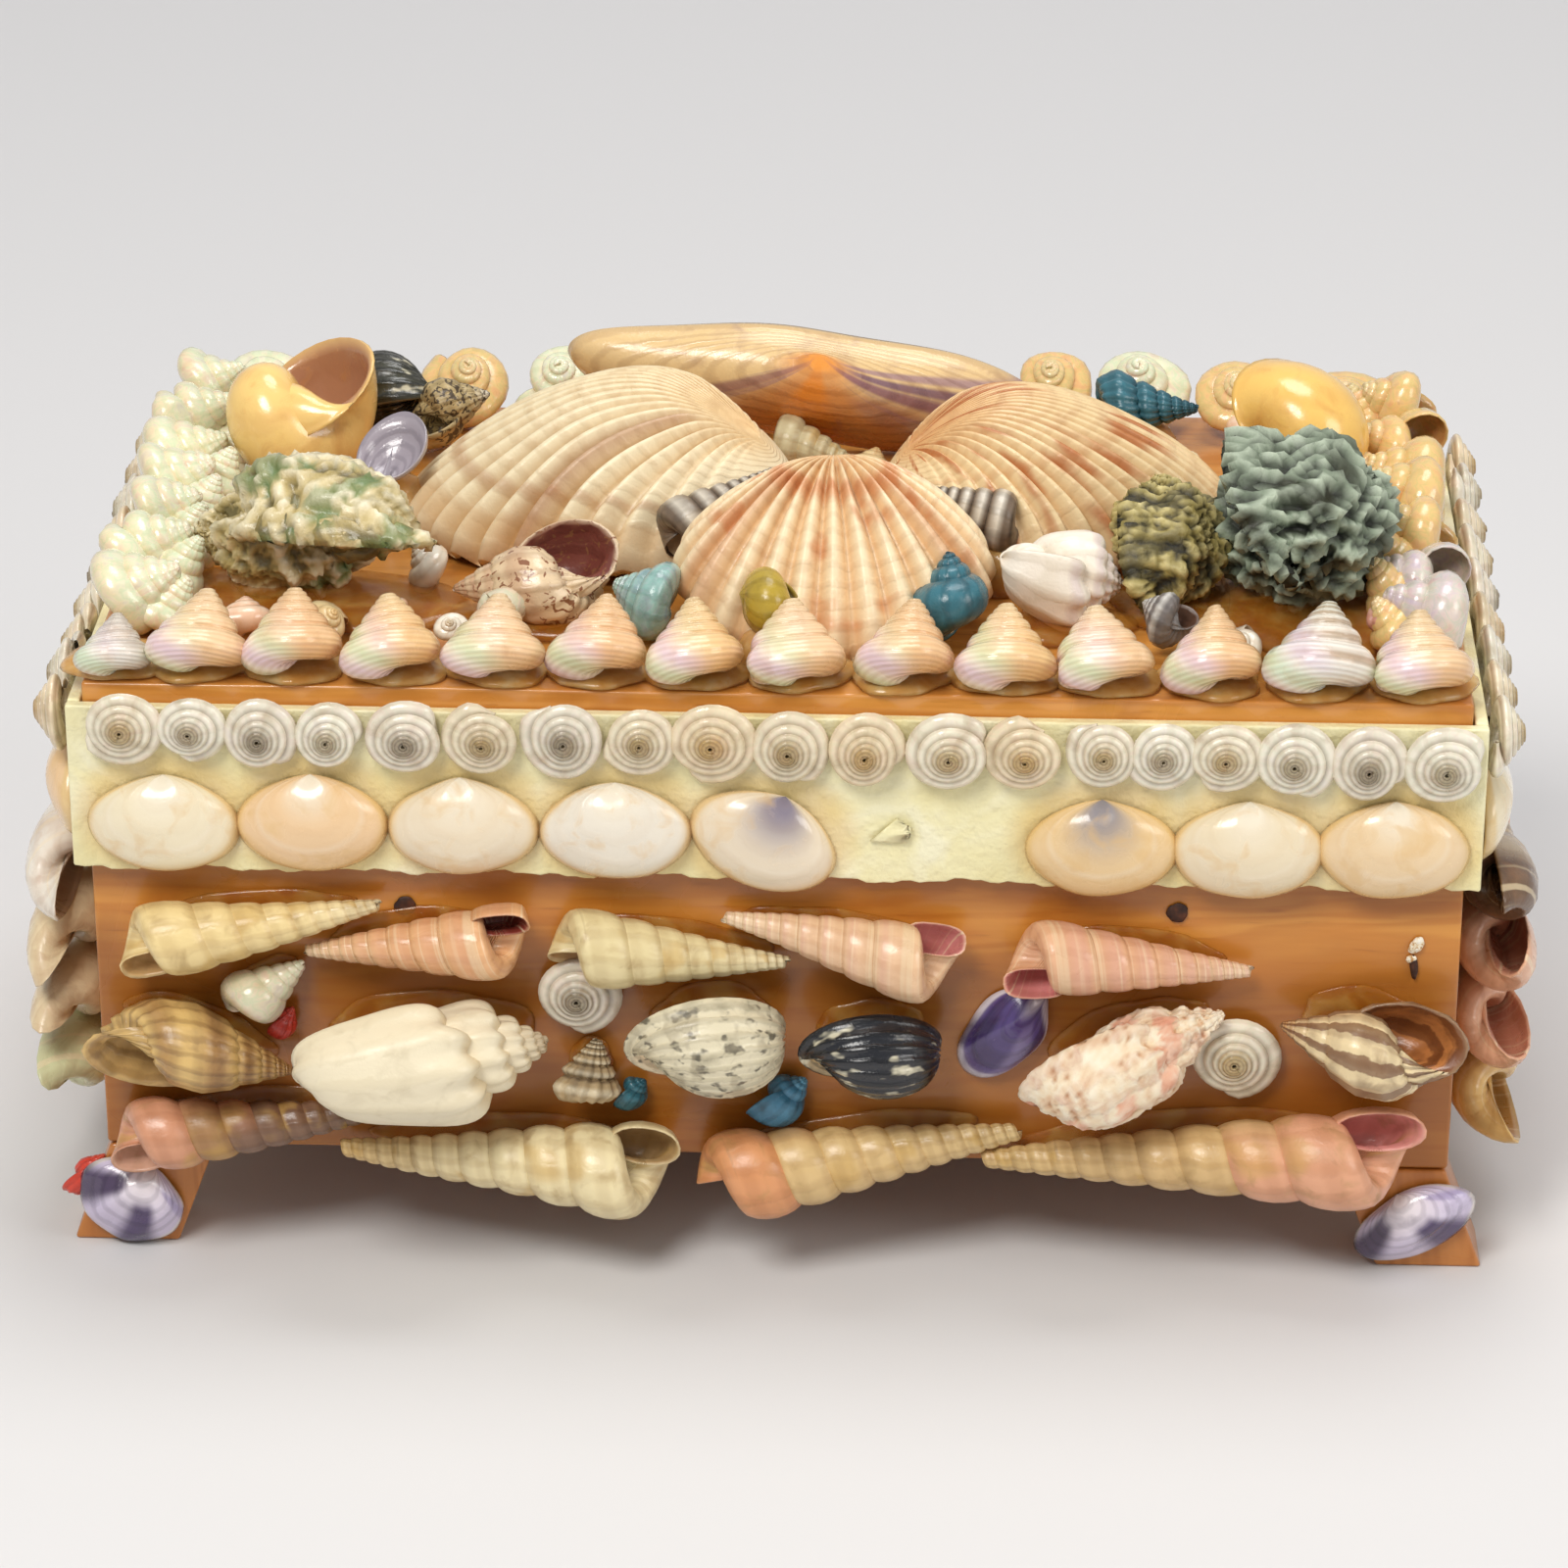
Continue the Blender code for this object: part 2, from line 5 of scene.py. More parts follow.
import bmesh
import bpy
import numpy as np
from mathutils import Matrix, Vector


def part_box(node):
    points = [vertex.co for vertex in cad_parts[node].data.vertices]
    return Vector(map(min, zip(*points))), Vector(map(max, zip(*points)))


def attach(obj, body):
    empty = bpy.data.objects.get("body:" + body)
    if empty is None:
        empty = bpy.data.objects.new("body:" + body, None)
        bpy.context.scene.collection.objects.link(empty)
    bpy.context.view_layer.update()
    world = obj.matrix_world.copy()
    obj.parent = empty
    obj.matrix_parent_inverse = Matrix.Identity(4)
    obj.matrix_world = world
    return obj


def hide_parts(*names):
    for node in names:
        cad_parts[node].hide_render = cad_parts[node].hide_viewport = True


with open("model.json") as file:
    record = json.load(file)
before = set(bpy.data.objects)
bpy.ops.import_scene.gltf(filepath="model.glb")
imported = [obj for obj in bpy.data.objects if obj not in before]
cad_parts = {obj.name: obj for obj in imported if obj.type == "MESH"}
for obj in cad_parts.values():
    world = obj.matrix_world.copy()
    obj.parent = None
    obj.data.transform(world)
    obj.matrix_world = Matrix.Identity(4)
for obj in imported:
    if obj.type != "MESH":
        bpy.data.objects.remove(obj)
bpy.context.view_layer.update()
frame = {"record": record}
print("stage: frame loaded")

# The faces of the box that carry shells, in millimetres: a place on a face is across, up and out of it.
faces = {
    "front": ((0, -50.3, 15), (1, 0, 0), (0, 0, 1), (0, -1, 0)),
    "back": ((0, 50.3, 15), (-1, 0, 0), (0, 0, 1), (0, 1, 0)),
    "left": ((-90.3, 0, 15), (0, -1, 0), (0, 0, 1), (-1, 0, 0)),
    "right": ((90.3, 0, 15), (0, 1, 0), (0, 0, 1), (1, 0, 0)),
    "legs": ((0, -50.3, 0), (1, 0, 0), (0, 0, 1), (0, -1, 0)),
    "skirtFront": ((0, -52.3, 57.5), (1, 0, 0), (0, 0, 1), (0, -1, 0)),
    "skirtBack": ((0, 52.3, 57.5), (-1, 0, 0), (0, 0, 1), (0, 1, 0)),
    "skirtLeft": ((-92.3, 0, 57.5), (0, -1, 0), (0, 0, 1), (-1, 0, 0)),
    "skirtRight": ((92.3, 0, 57.5), (0, 1, 0), (0, 0, 1), (1, 0, 0)),
    "lid": ((0, 0, 83.3), (1, 0, 0), (0, 1, 0), (0, 0, 1)),
}
millimetre = 0.001
slotOf = {part["node"]: part["material_slot"] for part in frame["record"]["subparts"]}


def shade(code):
    # A colour written as six hexadecimal digits, turned from display values into linear light.
    values = np.array([int(code[i:i + 2], 16) / 255 for i in (0, 2, 4)])
    return np.where(values <= 0.04045, values / 12.92, ((values + 0.055) / 1.055) ** 2.4)


def smooth(value):
    # A soft step from 0 to 1, three squares less two cubes.
    value = np.clip(value, 0, 1)
    return value * value * (3 - 2 * value)


# A surface is a dictionary of arrays. It holds points in millimetres, quads and triangles by point
# number, and for each point a tint, how far the shell had grown there and how far round it is.

def ringSkin(rings, first, last, **values):
    # Rings of points, each closed on itself, joined by quads, with a fan to one point at each end.
    rows, columns = rings.shape[:2]
    points = np.concatenate([[first], rings.reshape(-1, 3), [last]])
    row, column = np.meshgrid(np.arange(rows - 1), np.arange(columns), indexing="ij")
    following = (column + 1) % columns
    corners = ((row, column), (row, following), (row + 1, following), (row + 1, column))
    quads = np.stack([1 + r * columns + c for r, c in corners], axis=-1).reshape(-1, 4)
    column = np.arange(columns)
    following = (column + 1) % columns
    lastRow = 1 + (rows - 1) * columns
    startFan = np.stack([np.zeros(columns, int), 1 + following, 1 + column], axis=-1)
    endFan = np.stack([np.full(columns, len(points) - 1), lastRow + column, lastRow + following], axis=-1)
    surface = {"points": points, "quads": quads, "triangles": np.concatenate([startFan, endFan])}
    for name, value in values.items():
        flat = np.broadcast_to(value, (rows, columns, value.shape[-1])).reshape(rows * columns, -1)
        surface[name] = np.concatenate([flat[:1], flat, flat[-1:]])
    return facingOut(surface)


def facingOut(surface):
    # Turns every face over if the skin encloses a negative volume, by the sum of its triple products.
    points, quads, triangles = surface["points"], surface["quads"], surface["triangles"]
    parts = np.concatenate([triangles, quads[:, :3], quads[:, [0, 2, 3]]])
    a, b, c = (points[parts[:, i]] for i in range(3))
    if (a * np.cross(b, c)).sum() < 0:
        surface["quads"], surface["triangles"] = quads[:, ::-1], triangles[:, ::-1]
    return surface


def joined(surfaces):
    # Several surfaces as one, with their point numbers moved on.
    starts = np.cumsum([0] + [len(s["points"]) for s in surfaces[:-1]])
    keys = ("points", "tint", "grown", "around")
    whole = {key: np.concatenate([s[key] for s in surfaces]) for key in keys}
    for key in ("quads", "triangles"):
        whole[key] = np.concatenate([s[key] + start for s, start in zip(surfaces, starts)])
    return whole


def warped(surface, amount, size, seed):
    # Moves every point by four slow sine waves that run in random directions, so that no shell is
    # perfectly regular. amount is the largest shift and size the length of a wave, in millimetres.
    waves = np.random.default_rng(seed)
    points = surface["points"]
    shift = np.zeros_like(points)
    for _ in range(4):
        direction = waves.normal(size=3)
        direction *= 2 * math.pi / (size * np.linalg.norm(direction))
        shift += np.sin(points @ direction + waves.uniform(0, 6.3))[:, None] * waves.normal(size=3)
    surface["points"] = points + shift * amount / 4
    return surface


def normalsOf(surface):
    # The direction out of each point: the sum of the cross products of the diagonals of its quads.
    points, quads = surface["points"], surface["quads"]
    a, b, c, d = (points[quads[:, i]] for i in range(4))
    across = np.cross(c - a, d - b)
    total = np.zeros_like(points)
    for i in range(4):
        np.add.at(total, quads[:, i], across)
    return total / np.maximum(np.linalg.norm(total, axis=1, keepdims=True), 1e-9)


def crusted(surface, amount, size, stops, patches, seed, grain):
    # Crust on a shell. Its height is a sum of folded waves, one less twice the absolute value of the
    # product of two sines, each octave half as long and 0.6 as high as the last, and moved by a slower
    # sine. Points move out by it, and stops give the tint from the pits to the crests. Patches of one
    # more colour lie where the sum of two slow sines passes the cut.
    waves = np.random.default_rng(seed)
    points = surface["points"]
    height = np.zeros(len(points))
    for octave in range(grain):
        rate = 2 * math.pi / size * 2 ** octave
        first, second, slow = (v / np.linalg.norm(v) for v in waves.normal(size=(3, 3)))
        shift = 1.6 * np.sin(points @ slow * rate * 0.6 + waves.uniform(0, 6.3))
        fold = np.sin(points @ first * rate + shift) * np.sin(points @ second * rate * 1.2 - shift)
        height += 0.6 ** octave * (1 - 2 * np.abs(fold))
    low, high = np.percentile(height, (3, 97))
    height = np.clip((height - low) / (high - low), 0, 1)
    surface["points"] = points + normalsOf(surface) * (height[:, None] - 0.5) * amount
    colours = np.array([shade(code) for _, code in stops])
    tint = np.stack([np.interp(height, [at for at, _ in stops], colours[:, i]) for i in range(3)], axis=-1)
    code, length, cut = patches
    direction, other = (v / np.linalg.norm(v) for v in waves.normal(size=(2, 3)))
    cloud = np.sin(points @ direction * 6.3 / length) + np.sin(points @ other * 9.1 / length + height * 2)
    patch = smooth((cloud - cut) / 0.5)[:, None] * (1 - 0.5 * height[:, None])
    surface["tint"] = tint + (shade(code) - tint) * patch
    return surface


def meshPiece(name, surfaces, material, slotName, *nodes):
    # Makes the surfaces one mesh object that rides on the box and stands for the CAD nodes.
    surface = joined(surfaces) if isinstance(surfaces, list) else surfaces
    points = surface["points"] * millimetre
    quads, triangles = surface["quads"], surface["triangles"]
    mesh = bpy.data.meshes.new(name)
    mesh.vertices.add(len(points))
    mesh.vertices.foreach_set("co", points.astype(np.float32).ravel())
    corners = np.concatenate([quads.ravel(), triangles.ravel()]).astype(np.int32)
    mesh.loops.add(len(corners))
    mesh.loops.foreach_set("vertex_index", corners)
    mesh.polygons.add(len(quads) + len(triangles))
    starts = np.concatenate([np.arange(len(quads)) * 4, quads.size + np.arange(len(triangles)) * 3])
    mesh.polygons.foreach_set("loop_start", starts.astype(np.int32))
    mesh.update(calc_edges=True)
    mesh.polygons.foreach_set("use_smooth", np.ones(len(mesh.polygons), bool))
    tint = np.concatenate([surface["tint"], np.ones((len(points), 1))], axis=1).astype(np.float32)
    mesh.attributes.new("tint", "FLOAT_COLOR", "POINT").data.foreach_set("color", tint.ravel())
    for key in ("grown", "around"):
        values = surface[key].astype(np.float32).ravel()
        mesh.attributes.new(key, "FLOAT", "POINT").data.foreach_set("value", values)
    riding(name, mesh, material, slotName, *nodes)


def riding(name, mesh, material, slotName, *nodes):
    # A mesh as an object that rides on the box and stands for the CAD nodes, if any are named.
    mesh.materials.append(material)
    piece = bpy.data.objects.new(name, mesh)
    bpy.context.scene.collection.objects.link(piece)
    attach(piece, "root")
    if nodes:
        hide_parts(*nodes)


def dressed(node, surfaces, material, ending="_shells"):
    # The detailed piece that stands for one CAD node.
    meshPiece(node + ending, surfaces, material, slotOf[node], node)


def setDown(face, surface, start, towards, sink=0.15):
    # Turns a surface so that its own X axis runs from start towards the second point and its Z axis
    # looks out of the face, or down it where the shape stands on end. Then it settles until its lowest
    # point is sunk into the glue by sink, or stays at its height where sink is None.
    origin, across, up, out = (np.array(v, float) for v in faces[face])
    start, towards = np.array(start, float), np.array(towards, float)
    along = (towards - start) / np.linalg.norm(towards - start)
    look = np.array([0.0, -1.0, 0.0]) if abs(along[2]) > 0.9 else np.array([0.0, 0.0, 1.0])
    outwards = look - along * (look @ along)
    outwards /= np.linalg.norm(outwards)
    layout = start + surface["points"] @ np.array([along, np.cross(outwards, along), outwards])
    if sink is not None:
        layout[:, 2] -= layout[:, 2].min() + sink
    surface["points"] = origin + layout @ np.array([across, up, out])
    return facingOut(surface)


def colours(base, tip, mouth, *bands, **more):
    # How a snail is coloured: near its mouth, at its tip and inside, with bands round the tube. A band
    # is its middle and half its width round the tube, its colour and its strength.
    return dict(more, base=base, tip=tip, mouth=mouth, bands=bands)


def valveColours(base, beak, **more):
    # How a valve is coloured: over most of it and at its beak, with rings, rays and darker grooves.
    return dict(more, base=base, beak=beak)


def tinted(grown, around, inside, look):
    # Colours a shell by its growth (0 at the tip, 1 at the mouth) and by the place round its tube
    # (0 at the outermost, 0.25 at the seam above, -0.25 at the base). Later entries cover earlier ones.
    base, tip, mouth = (shade(look[key]) for key in ("base", "tip", "mouth"))
    colour = tip + (base - tip) * smooth(grown * 1.3)[..., None]
    for centre, half, code, strength in look["bands"]:
        weight = strength * smooth(1.5 - np.abs(around - centre) / half)
        colour = colour + (shade(code) - colour) * weight[..., None]
    for start, end, code, strength in look.get("spans", ()):
        weight = strength * smooth((grown - start) / 0.03) * smooth((end - grown) / 0.03)
        colour = colour + (shade(code) - colour) * weight[..., None]
    return colour + (mouth - colour) * inside[..., None]


def coil(length, width, look, turns=6.0, growth=1.5, tall=1.0, offset=0.8, overlap=0.8, slant=0.0,
         square=1.0, ribs=0, ribDepth=0.0, cords=0, cordDepth=0.0, steps=24, sides=16, lip=1.03,
         facing=180.0, shoulder=0.0, rough=0.0, knobs=0.0, shut=0.0):
    # A snail's tube. Its centre runs round the axis, and its distance from the axis, its depth below the
    # tip and its size all grow by the same factor each turn. Across, the tube is an ellipse `tall` times
    # as high as wide that leans by `slant` degrees. Ribs and cords swell it by cosines of the growth and
    # of the place round the tube, and knobs is the share of each rib that only rises at the shoulder.
    # At the mouth the skin turns over the lip and runs back inside. shut narrows the last tenth of a turn.
    outer = np.linspace(-turns, 0, int(turns * steps) + 1)
    inner = np.array([0.01, 0.016, -0.004, -0.03, -0.08, -0.16, -0.25])
    turn = np.concatenate([outer, inner])[:, None]
    rim = (1 - shut) * np.array([lip, lip - 0.05, 0.90, 0.86, 0.80, 0.70, 0.50])
    swell = np.concatenate([1 - shut * smooth(outer / 0.12 + 1), rim])[:, None]
    inside = np.concatenate([np.zeros_like(outer), [0.0, 0.5, 1, 1, 1, 1, 1]])[:, None]
    around = (np.arange(sides) / sides - 0.5)[None]
    circle = 2 * math.pi * around
    radial = np.sign(np.cos(circle)) * np.abs(np.cos(circle)) ** square
    axial = np.sign(np.sin(circle)) * np.abs(np.sin(circle)) ** square * tall
    radial = radial + shoulder * smooth(np.sin(circle)) * smooth(np.cos(circle) + 0.6)
    lean = math.radians(slant)
    radial, axial = (radial * math.cos(lean) - axial * math.sin(lean),
                     radial * math.sin(lean) + axial * math.cos(lean))
    upper = 1 - knobs + knobs * smooth((np.sin(circle) + 0.1) / 0.8)
    fold = 1 + ribDepth * np.cos(2 * math.pi * ribs * turn) * upper + cordDepth * np.cos(cords * circle)
    knots = np.sin(19.4 * turn + 3 * circle) * np.sin(23 * turn - 5 * circle)
    knots = knots + 0.6 * np.sin(41 * turn + 7 * circle)
    fold = np.where(turn <= 0, fold + rough * knots, 1) * swell
    scale = growth ** turn
    depth = overlap * tall * (growth + 1) / (growth - 1)
    distance = (offset + radial * fold) * scale
    way = math.radians(facing) - 2 * math.pi * turn
    points = np.stack([(axial * fold - depth) * scale, distance * np.cos(way), distance * np.sin(way)],
                      axis=-1)
    low, high = points.reshape(-1, 3).min(axis=0), points.reshape(-1, 3).max(axis=0)
    points -= [low[0], (low[1] + high[1]) / 2, (low[2] + high[2]) / 2]
    points *= [length / (high[0] - low[0]), width / (high[1] - low[1]), width / (high[2] - low[2])]
    grown = 1 + np.minimum(turn, 0) / turns
    places = (grown, around, inside, turn)
    grown, around, inside, turn = (np.broadcast_to(v, points.shape[:2]) for v in places)
    first = points[0].mean(axis=0) + [0.02 * length, 0, 0]
    return ringSkin(points, first, points[-1].mean(axis=0), tint=tinted(grown, around, inside, look),
                    grown=turn[..., None], around=around[..., None])


def fanned(share, angle, look):
    # Colours a valve by its growth (0 at the beak, 1 at the margin) and by the angle of its fan, from
    # -1 to 1 across it. Rings are margins of growth and rays run out from the beak.
    base, beak = shade(look["base"]), shade(look["beak"])
    colour = beak + (base - beak) * smooth(share * look.get("spread", 2.0))[..., None]
    for centre, half, code, strength in look.get("rings", ()):
        weight = strength * smooth(1.5 - np.abs(share - centre) / half)
        colour = colour + (shade(code) - colour) * weight[..., None]
    for centre, half, start, code, strength in look.get("rays", ()):
        weight = strength * smooth(1.5 - np.abs(angle - centre) / half) * smooth((share - start) / 0.15)
        colour = colour + (shade(code) - colour) * weight[..., None]
    return colour


def valve(length, width, height, look, ribs=0, ribDepth=0.0, fullness=0.6, skew=0.35, rows=30, columns=120,
          rim=0.8, overhang=0.10, point=0.0):
    # One half of a bivalve, hollow side down, with its beak near the origin. A point's place is its share
    # of the way from the beak to an elliptical margin at the angle of the fan. On the beak's side the
    # margin narrows by the sine of that angle to the power of point. The dome is one less the squares of
    # the place along and across, to the power of fullness. The ribs are cosines of the angle with their
    # tops made broad and their grooves narrow by a power of 0.6.
    back = overhang * length
    turn = 2 * math.pi * np.arange(columns)[None] / columns
    middle, reach = (length - back) / 2, (length + back) / 2
    share = (np.arange(1, rows + 1)[:, None] / rows) ** 0.8
    crest = (1 + np.cos(ribs * turn)) / 2 if ribs else np.ones_like(turn)
    fan = np.clip(np.cos(turn) + 0.75, 0, 1) * smooth(share * 3)
    rib = (2 * crest ** 0.6 - 1) * ribDepth * fan if ribs else np.zeros_like(share * turn)
    x = share * (middle + reach * np.cos(turn))
    narrow = np.where(np.cos(turn) < 0, np.abs(np.sin(turn)) ** point, 1)
    y = share * width / 2 * np.sin(turn) * narrow
    along = (x - middle) / reach
    side = share * np.sin(turn)
    dome = np.clip(1 - along ** 2 - side ** 2, 0, 1) ** fullness * (1 - skew * along)
    beak = height * (1 - (middle / reach) ** 2) ** fullness * (1 + skew * middle / reach)
    stretch = 1 + rib * 0.25
    top = np.stack([x * stretch, y * stretch, height * dome * (1 + rib * 0.5) + height * rib * 0.6 + rim],
                   axis=-1)
    under = np.stack([x * 0.97 + middle * 0.03, y * 0.97, np.maximum(top[..., 2] - rim * 1.2, 0)],
                     axis=-1)[::-3]
    rings = np.concatenate([top, under])
    angle = np.where(turn > math.pi, turn - 2 * math.pi, turn) / math.pi
    shares = np.concatenate([share, share[::-3]])
    shares, angle = (np.broadcast_to(v, rings.shape[:2]) for v in (shares, angle))
    colour = fanned(shares, angle, look)
    if "groove" in look:
        code, strength = look["groove"]
        valley = strength * (1 - crest) ** 1.5 * np.concatenate([fan, fan[::-3]])
        colour = colour + (shade(code) - colour) * valley[..., None]
    if "inside" in look:
        colour[rows:] = shade(look["inside"])
    return ringSkin(rings, (0, 0, beak + rim), (middle, 0, 0), tint=colour, grown=shares[..., None],
                    around=angle[..., None])


# What the sine nodes count as one wave, in radians
fullTurn = 6.283


class Paint:
    # Adds shader nodes to a new material and links them as they are made.
    def __init__(self, name):
        self.material = bpy.data.materials.new(name)
        self.material.use_nodes = True
        self.tree = self.material.node_tree
        self.shader = self.tree.nodes["Principled BSDF"]
        self.place = self.add("ShaderNodeTexCoord").outputs["Object"]

    def add(self, kind, inputs=None, **settings):
        node = self.tree.nodes.new(kind)
        for key, value in settings.items():
            setattr(node, key, value)
        for key, value in (inputs or {}).items():
            self.connect(node.inputs[key], value)
        return node

    def connect(self, socket, value):
        if isinstance(value, bpy.types.NodeSocket):
            self.tree.links.new(value, socket)
        else:
            socket.default_value = value

    def maths(self, operation, a, b=0.0):
        return self.add("ShaderNodeMath", {0: a, 1: b}, operation=operation).outputs[0]

    def attribute(self, name, output="Fac"):
        return self.add("ShaderNodeAttribute", attribute_name=name).outputs[output]

    def stretched(self, scale):
        return self.add("ShaderNodeMapping", {"Vector": self.place, "Scale": scale}).outputs[0]

    def noise(self, scale, detail=4.0, place=None, distortion=0.0):
        inputs = {"Vector": place or self.place, "Scale": scale, "Detail": detail, "Distortion": distortion}
        return self.add("ShaderNodeTexNoise", inputs).outputs["Fac"]

    def spread(self, value, low, high, toLow=0.0, toHigh=1.0):
        inputs = {"Value": value, "From Min": low, "From Max": high, "To Min": toLow, "To Max": toHigh}
        return self.add("ShaderNodeMapRange", inputs, interpolation_type="SMOOTHSTEP").outputs[0]

    def mix(self, factor, a, b, blend="MIX"):
        node = self.add("ShaderNodeMix", data_type="RGBA", blend_type=blend)
        for index, value in ((0, factor), (6, a), (7, b)):
            self.connect(node.inputs[index], value)
        return node.outputs[2]

    def ramp(self, value, stops):
        node = self.add("ShaderNodeValToRGB", {"Fac": value})
        elements = node.color_ramp.elements
        while len(elements) < len(stops):
            elements.new(0.5)
        for element, (position, code) in zip(elements, stops):
            element.position = position
            element.color = (*shade(code), 1)
        return node.outputs["Color"]

    def finish(self, colour, roughness, height=None, depth=0.0001, coat=0.0, alpha=1.0):
        self.connect(self.shader.inputs["Base Color"], colour)
        self.connect(self.shader.inputs["Roughness"], roughness)
        self.shader.inputs["Coat Weight"].default_value = coat
        self.shader.inputs["Coat Roughness"].default_value = 0.12
        self.shader.inputs["Alpha"].default_value = alpha
        if height is not None:
            inputs = {"Height": height, "Strength": 0.6, "Distance": depth}
            self.connect(self.shader.inputs["Normal"], self.add("ShaderNodeBump", inputs).outputs[0])
        return self.material


def colourOf(code):
    return (*shade(code), 1)


def shellFinish(name, rough=0.35, coat=0.25, stain="8a6a40", stained=0.25, lines=6.0, lineDark=0.12,
                cords=0.0, pearl=0.0, flecks=None, depth=0.00012, bands=None, streaks=()):
    # Shell: the tint of each point, stained by slow noise, with fine lines of growth and, where asked
    # for, cords round the whorls, mother-of-pearl colours, dark flecks, bands along the growth, and
    # streaks stretched along the ribs or the whorls.
    paint = Paint(name)
    grown, around = paint.attribute("grown"), paint.attribute("around")
    cloudy = paint.noise(260, 5, distortion=0.6)
    fine = paint.noise(2600, 3)
    colour = paint.mix(paint.maths("MULTIPLY", paint.spread(cloudy, 0.50, 0.72), stained),
                       paint.attribute("tint", "Color"), colourOf(stain))
    phase = paint.maths("ADD", paint.maths("MULTIPLY", grown, lines * fullTurn),
                        paint.maths("MULTIPLY", cloudy, 5.0))
    growthLine = paint.spread(paint.maths("SINE", phase), -0.2, 1.0)
    colour = paint.mix(paint.maths("MULTIPLY", growthLine, lineDark), colour, colourOf(stain), "MULTIPLY")
    height = paint.maths("ADD", paint.maths("MULTIPLY", growthLine, 0.5),
                         paint.maths("MULTIPLY", fine, 0.35))
    for code, byAround, byGrown, cut, amount in streaks:
        across = paint.maths("MULTIPLY", around, byAround)
        onwards = paint.maths("MULTIPLY", grown, byGrown)
        place = paint.add("ShaderNodeCombineXYZ", {"X": across, "Y": onwards, "Z": 3.0}).outputs[0]
        streak = paint.spread(paint.noise(1.0, 2, place), cut, cut + 0.12)
        colour = paint.mix(paint.maths("MULTIPLY", streak, amount), colour, colourOf(code))
    if cords:
        cord = paint.maths("SINE", paint.maths("MULTIPLY", around, cords * fullTurn))
        height = paint.maths("ADD", height, paint.maths("MULTIPLY", cord, 0.5))
        shadow = paint.maths("MULTIPLY", paint.spread(cord, 0.4, -1.0), 0.16)
        colour = paint.mix(shadow, colour, colourOf(stain), "MULTIPLY")
    if bands:
        count, code, amount, width = bands
        drift = paint.maths("MULTIPLY", paint.noise(500, 3), 2.5)
        phase = paint.maths("ADD", paint.maths("MULTIPLY", grown, count * fullTurn), drift)
        band = paint.maths("SINE", phase)
        colour = paint.mix(paint.maths("MULTIPLY", paint.spread(band, width, width + 0.35), amount), colour,
                           colourOf(code))
    if flecks:
        code, size, cut = flecks
        spot = paint.noise(size, 2.0, distortion=1.2)
        colour = paint.mix(paint.spread(spot, cut, cut + 0.05), colour, colourOf(code))
    if pearl:
        sheen = paint.ramp(paint.noise(330, 2, distortion=1.5),
                           [(0.30, "f2c2d4"), (0.42, "f8f3e8"), (0.50, "c2ecd0"), (0.58, "faf5ec"),
                            (0.72, "cfc9f2")])
        colour = paint.mix(pearl, colour, sheen, "MULTIPLY")
    roughness = paint.spread(cloudy, 0.3, 0.7, rough - 0.08, rough + 0.1)
    return paint.finish(colour, roughness, height, depth, coat)


def woodFinish(name, along="X", light="dd9a42", dark="be7222", gloss=0.3, glued=0.5, darkenedHeights=()):
    # Varnished pine: fine rings stretched along the grain, thin dark pores and warm glue stains. Each entry
    # of darkenedHeights is two heights between which it turns dark brown, the strength of that and its
    # unevenness; on the body's boards this is painted shade, under the skirt and among the shells.
    paint = Paint(name)
    scale = {"X": (7, 70, 70), "Y": (70, 7, 70), "Z": (70, 70, 7)}[along]
    slow = paint.noise(1.0, 3, paint.stretched(scale), 0.6)
    fibres = paint.noise(1.0, 6, paint.stretched(tuple(s * 14 for s in scale)), 0.2)
    rings = paint.spread(paint.maths("SINE", paint.maths("MULTIPLY", slow, 70.0)), -1.0, 1.0)
    tone = paint.maths("ADD", paint.maths("MULTIPLY", rings, 0.38), paint.maths("MULTIPLY", fibres, 0.55))
    colour = paint.mix(tone, colourOf(light), colourOf(dark))
    pores = paint.maths("MULTIPLY", paint.spread(fibres, 0.60, 0.74), 0.35)
    colour = paint.mix(pores, colour, colourOf("8a4c1c"))
    stain = paint.noise(42, 4, distortion=1.0)
    colour = paint.mix(paint.maths("MULTIPLY", paint.spread(stain, 0.48, 0.70), glued), colour,
                       colourOf("b4681f"))
    for clearAt, darkAt, amount, uneven in darkenedHeights:
        level = paint.add("ShaderNodeSeparateXYZ", {0: paint.place}).outputs["Z"]
        wander = paint.maths("MULTIPLY", paint.maths("SUBTRACT", stain, 0.5), uneven)
        level = paint.maths("ADD", level, wander)
        share = paint.maths("MULTIPLY", paint.spread(level, min(clearAt, darkAt), max(clearAt, darkAt)), amount)
        if darkAt < clearAt:
            share = paint.maths("SUBTRACT", amount, share)
        # This dark brown is painted shade where the heights are given for the body's boards: the skirt's
        # shadow and the shade among the shells.
        colour = paint.mix(share, colour, colourOf("8f4f12"))
    height = paint.maths("ADD", paint.maths("MULTIPLY", fibres, 0.5), paint.maths("MULTIPLY", rings, 0.15))
    roughness = paint.spread(stain, 0.3, 0.8, gloss - 0.05, gloss + 0.2)
    return paint.finish(colour, roughness, height, 0.0001, 0.3)


# Camera and light

camera = {"place": (0.0287, -0.7085, 0.3804), "azimuth": 2.387, "elevation": 25.207, "lens": 128.66}


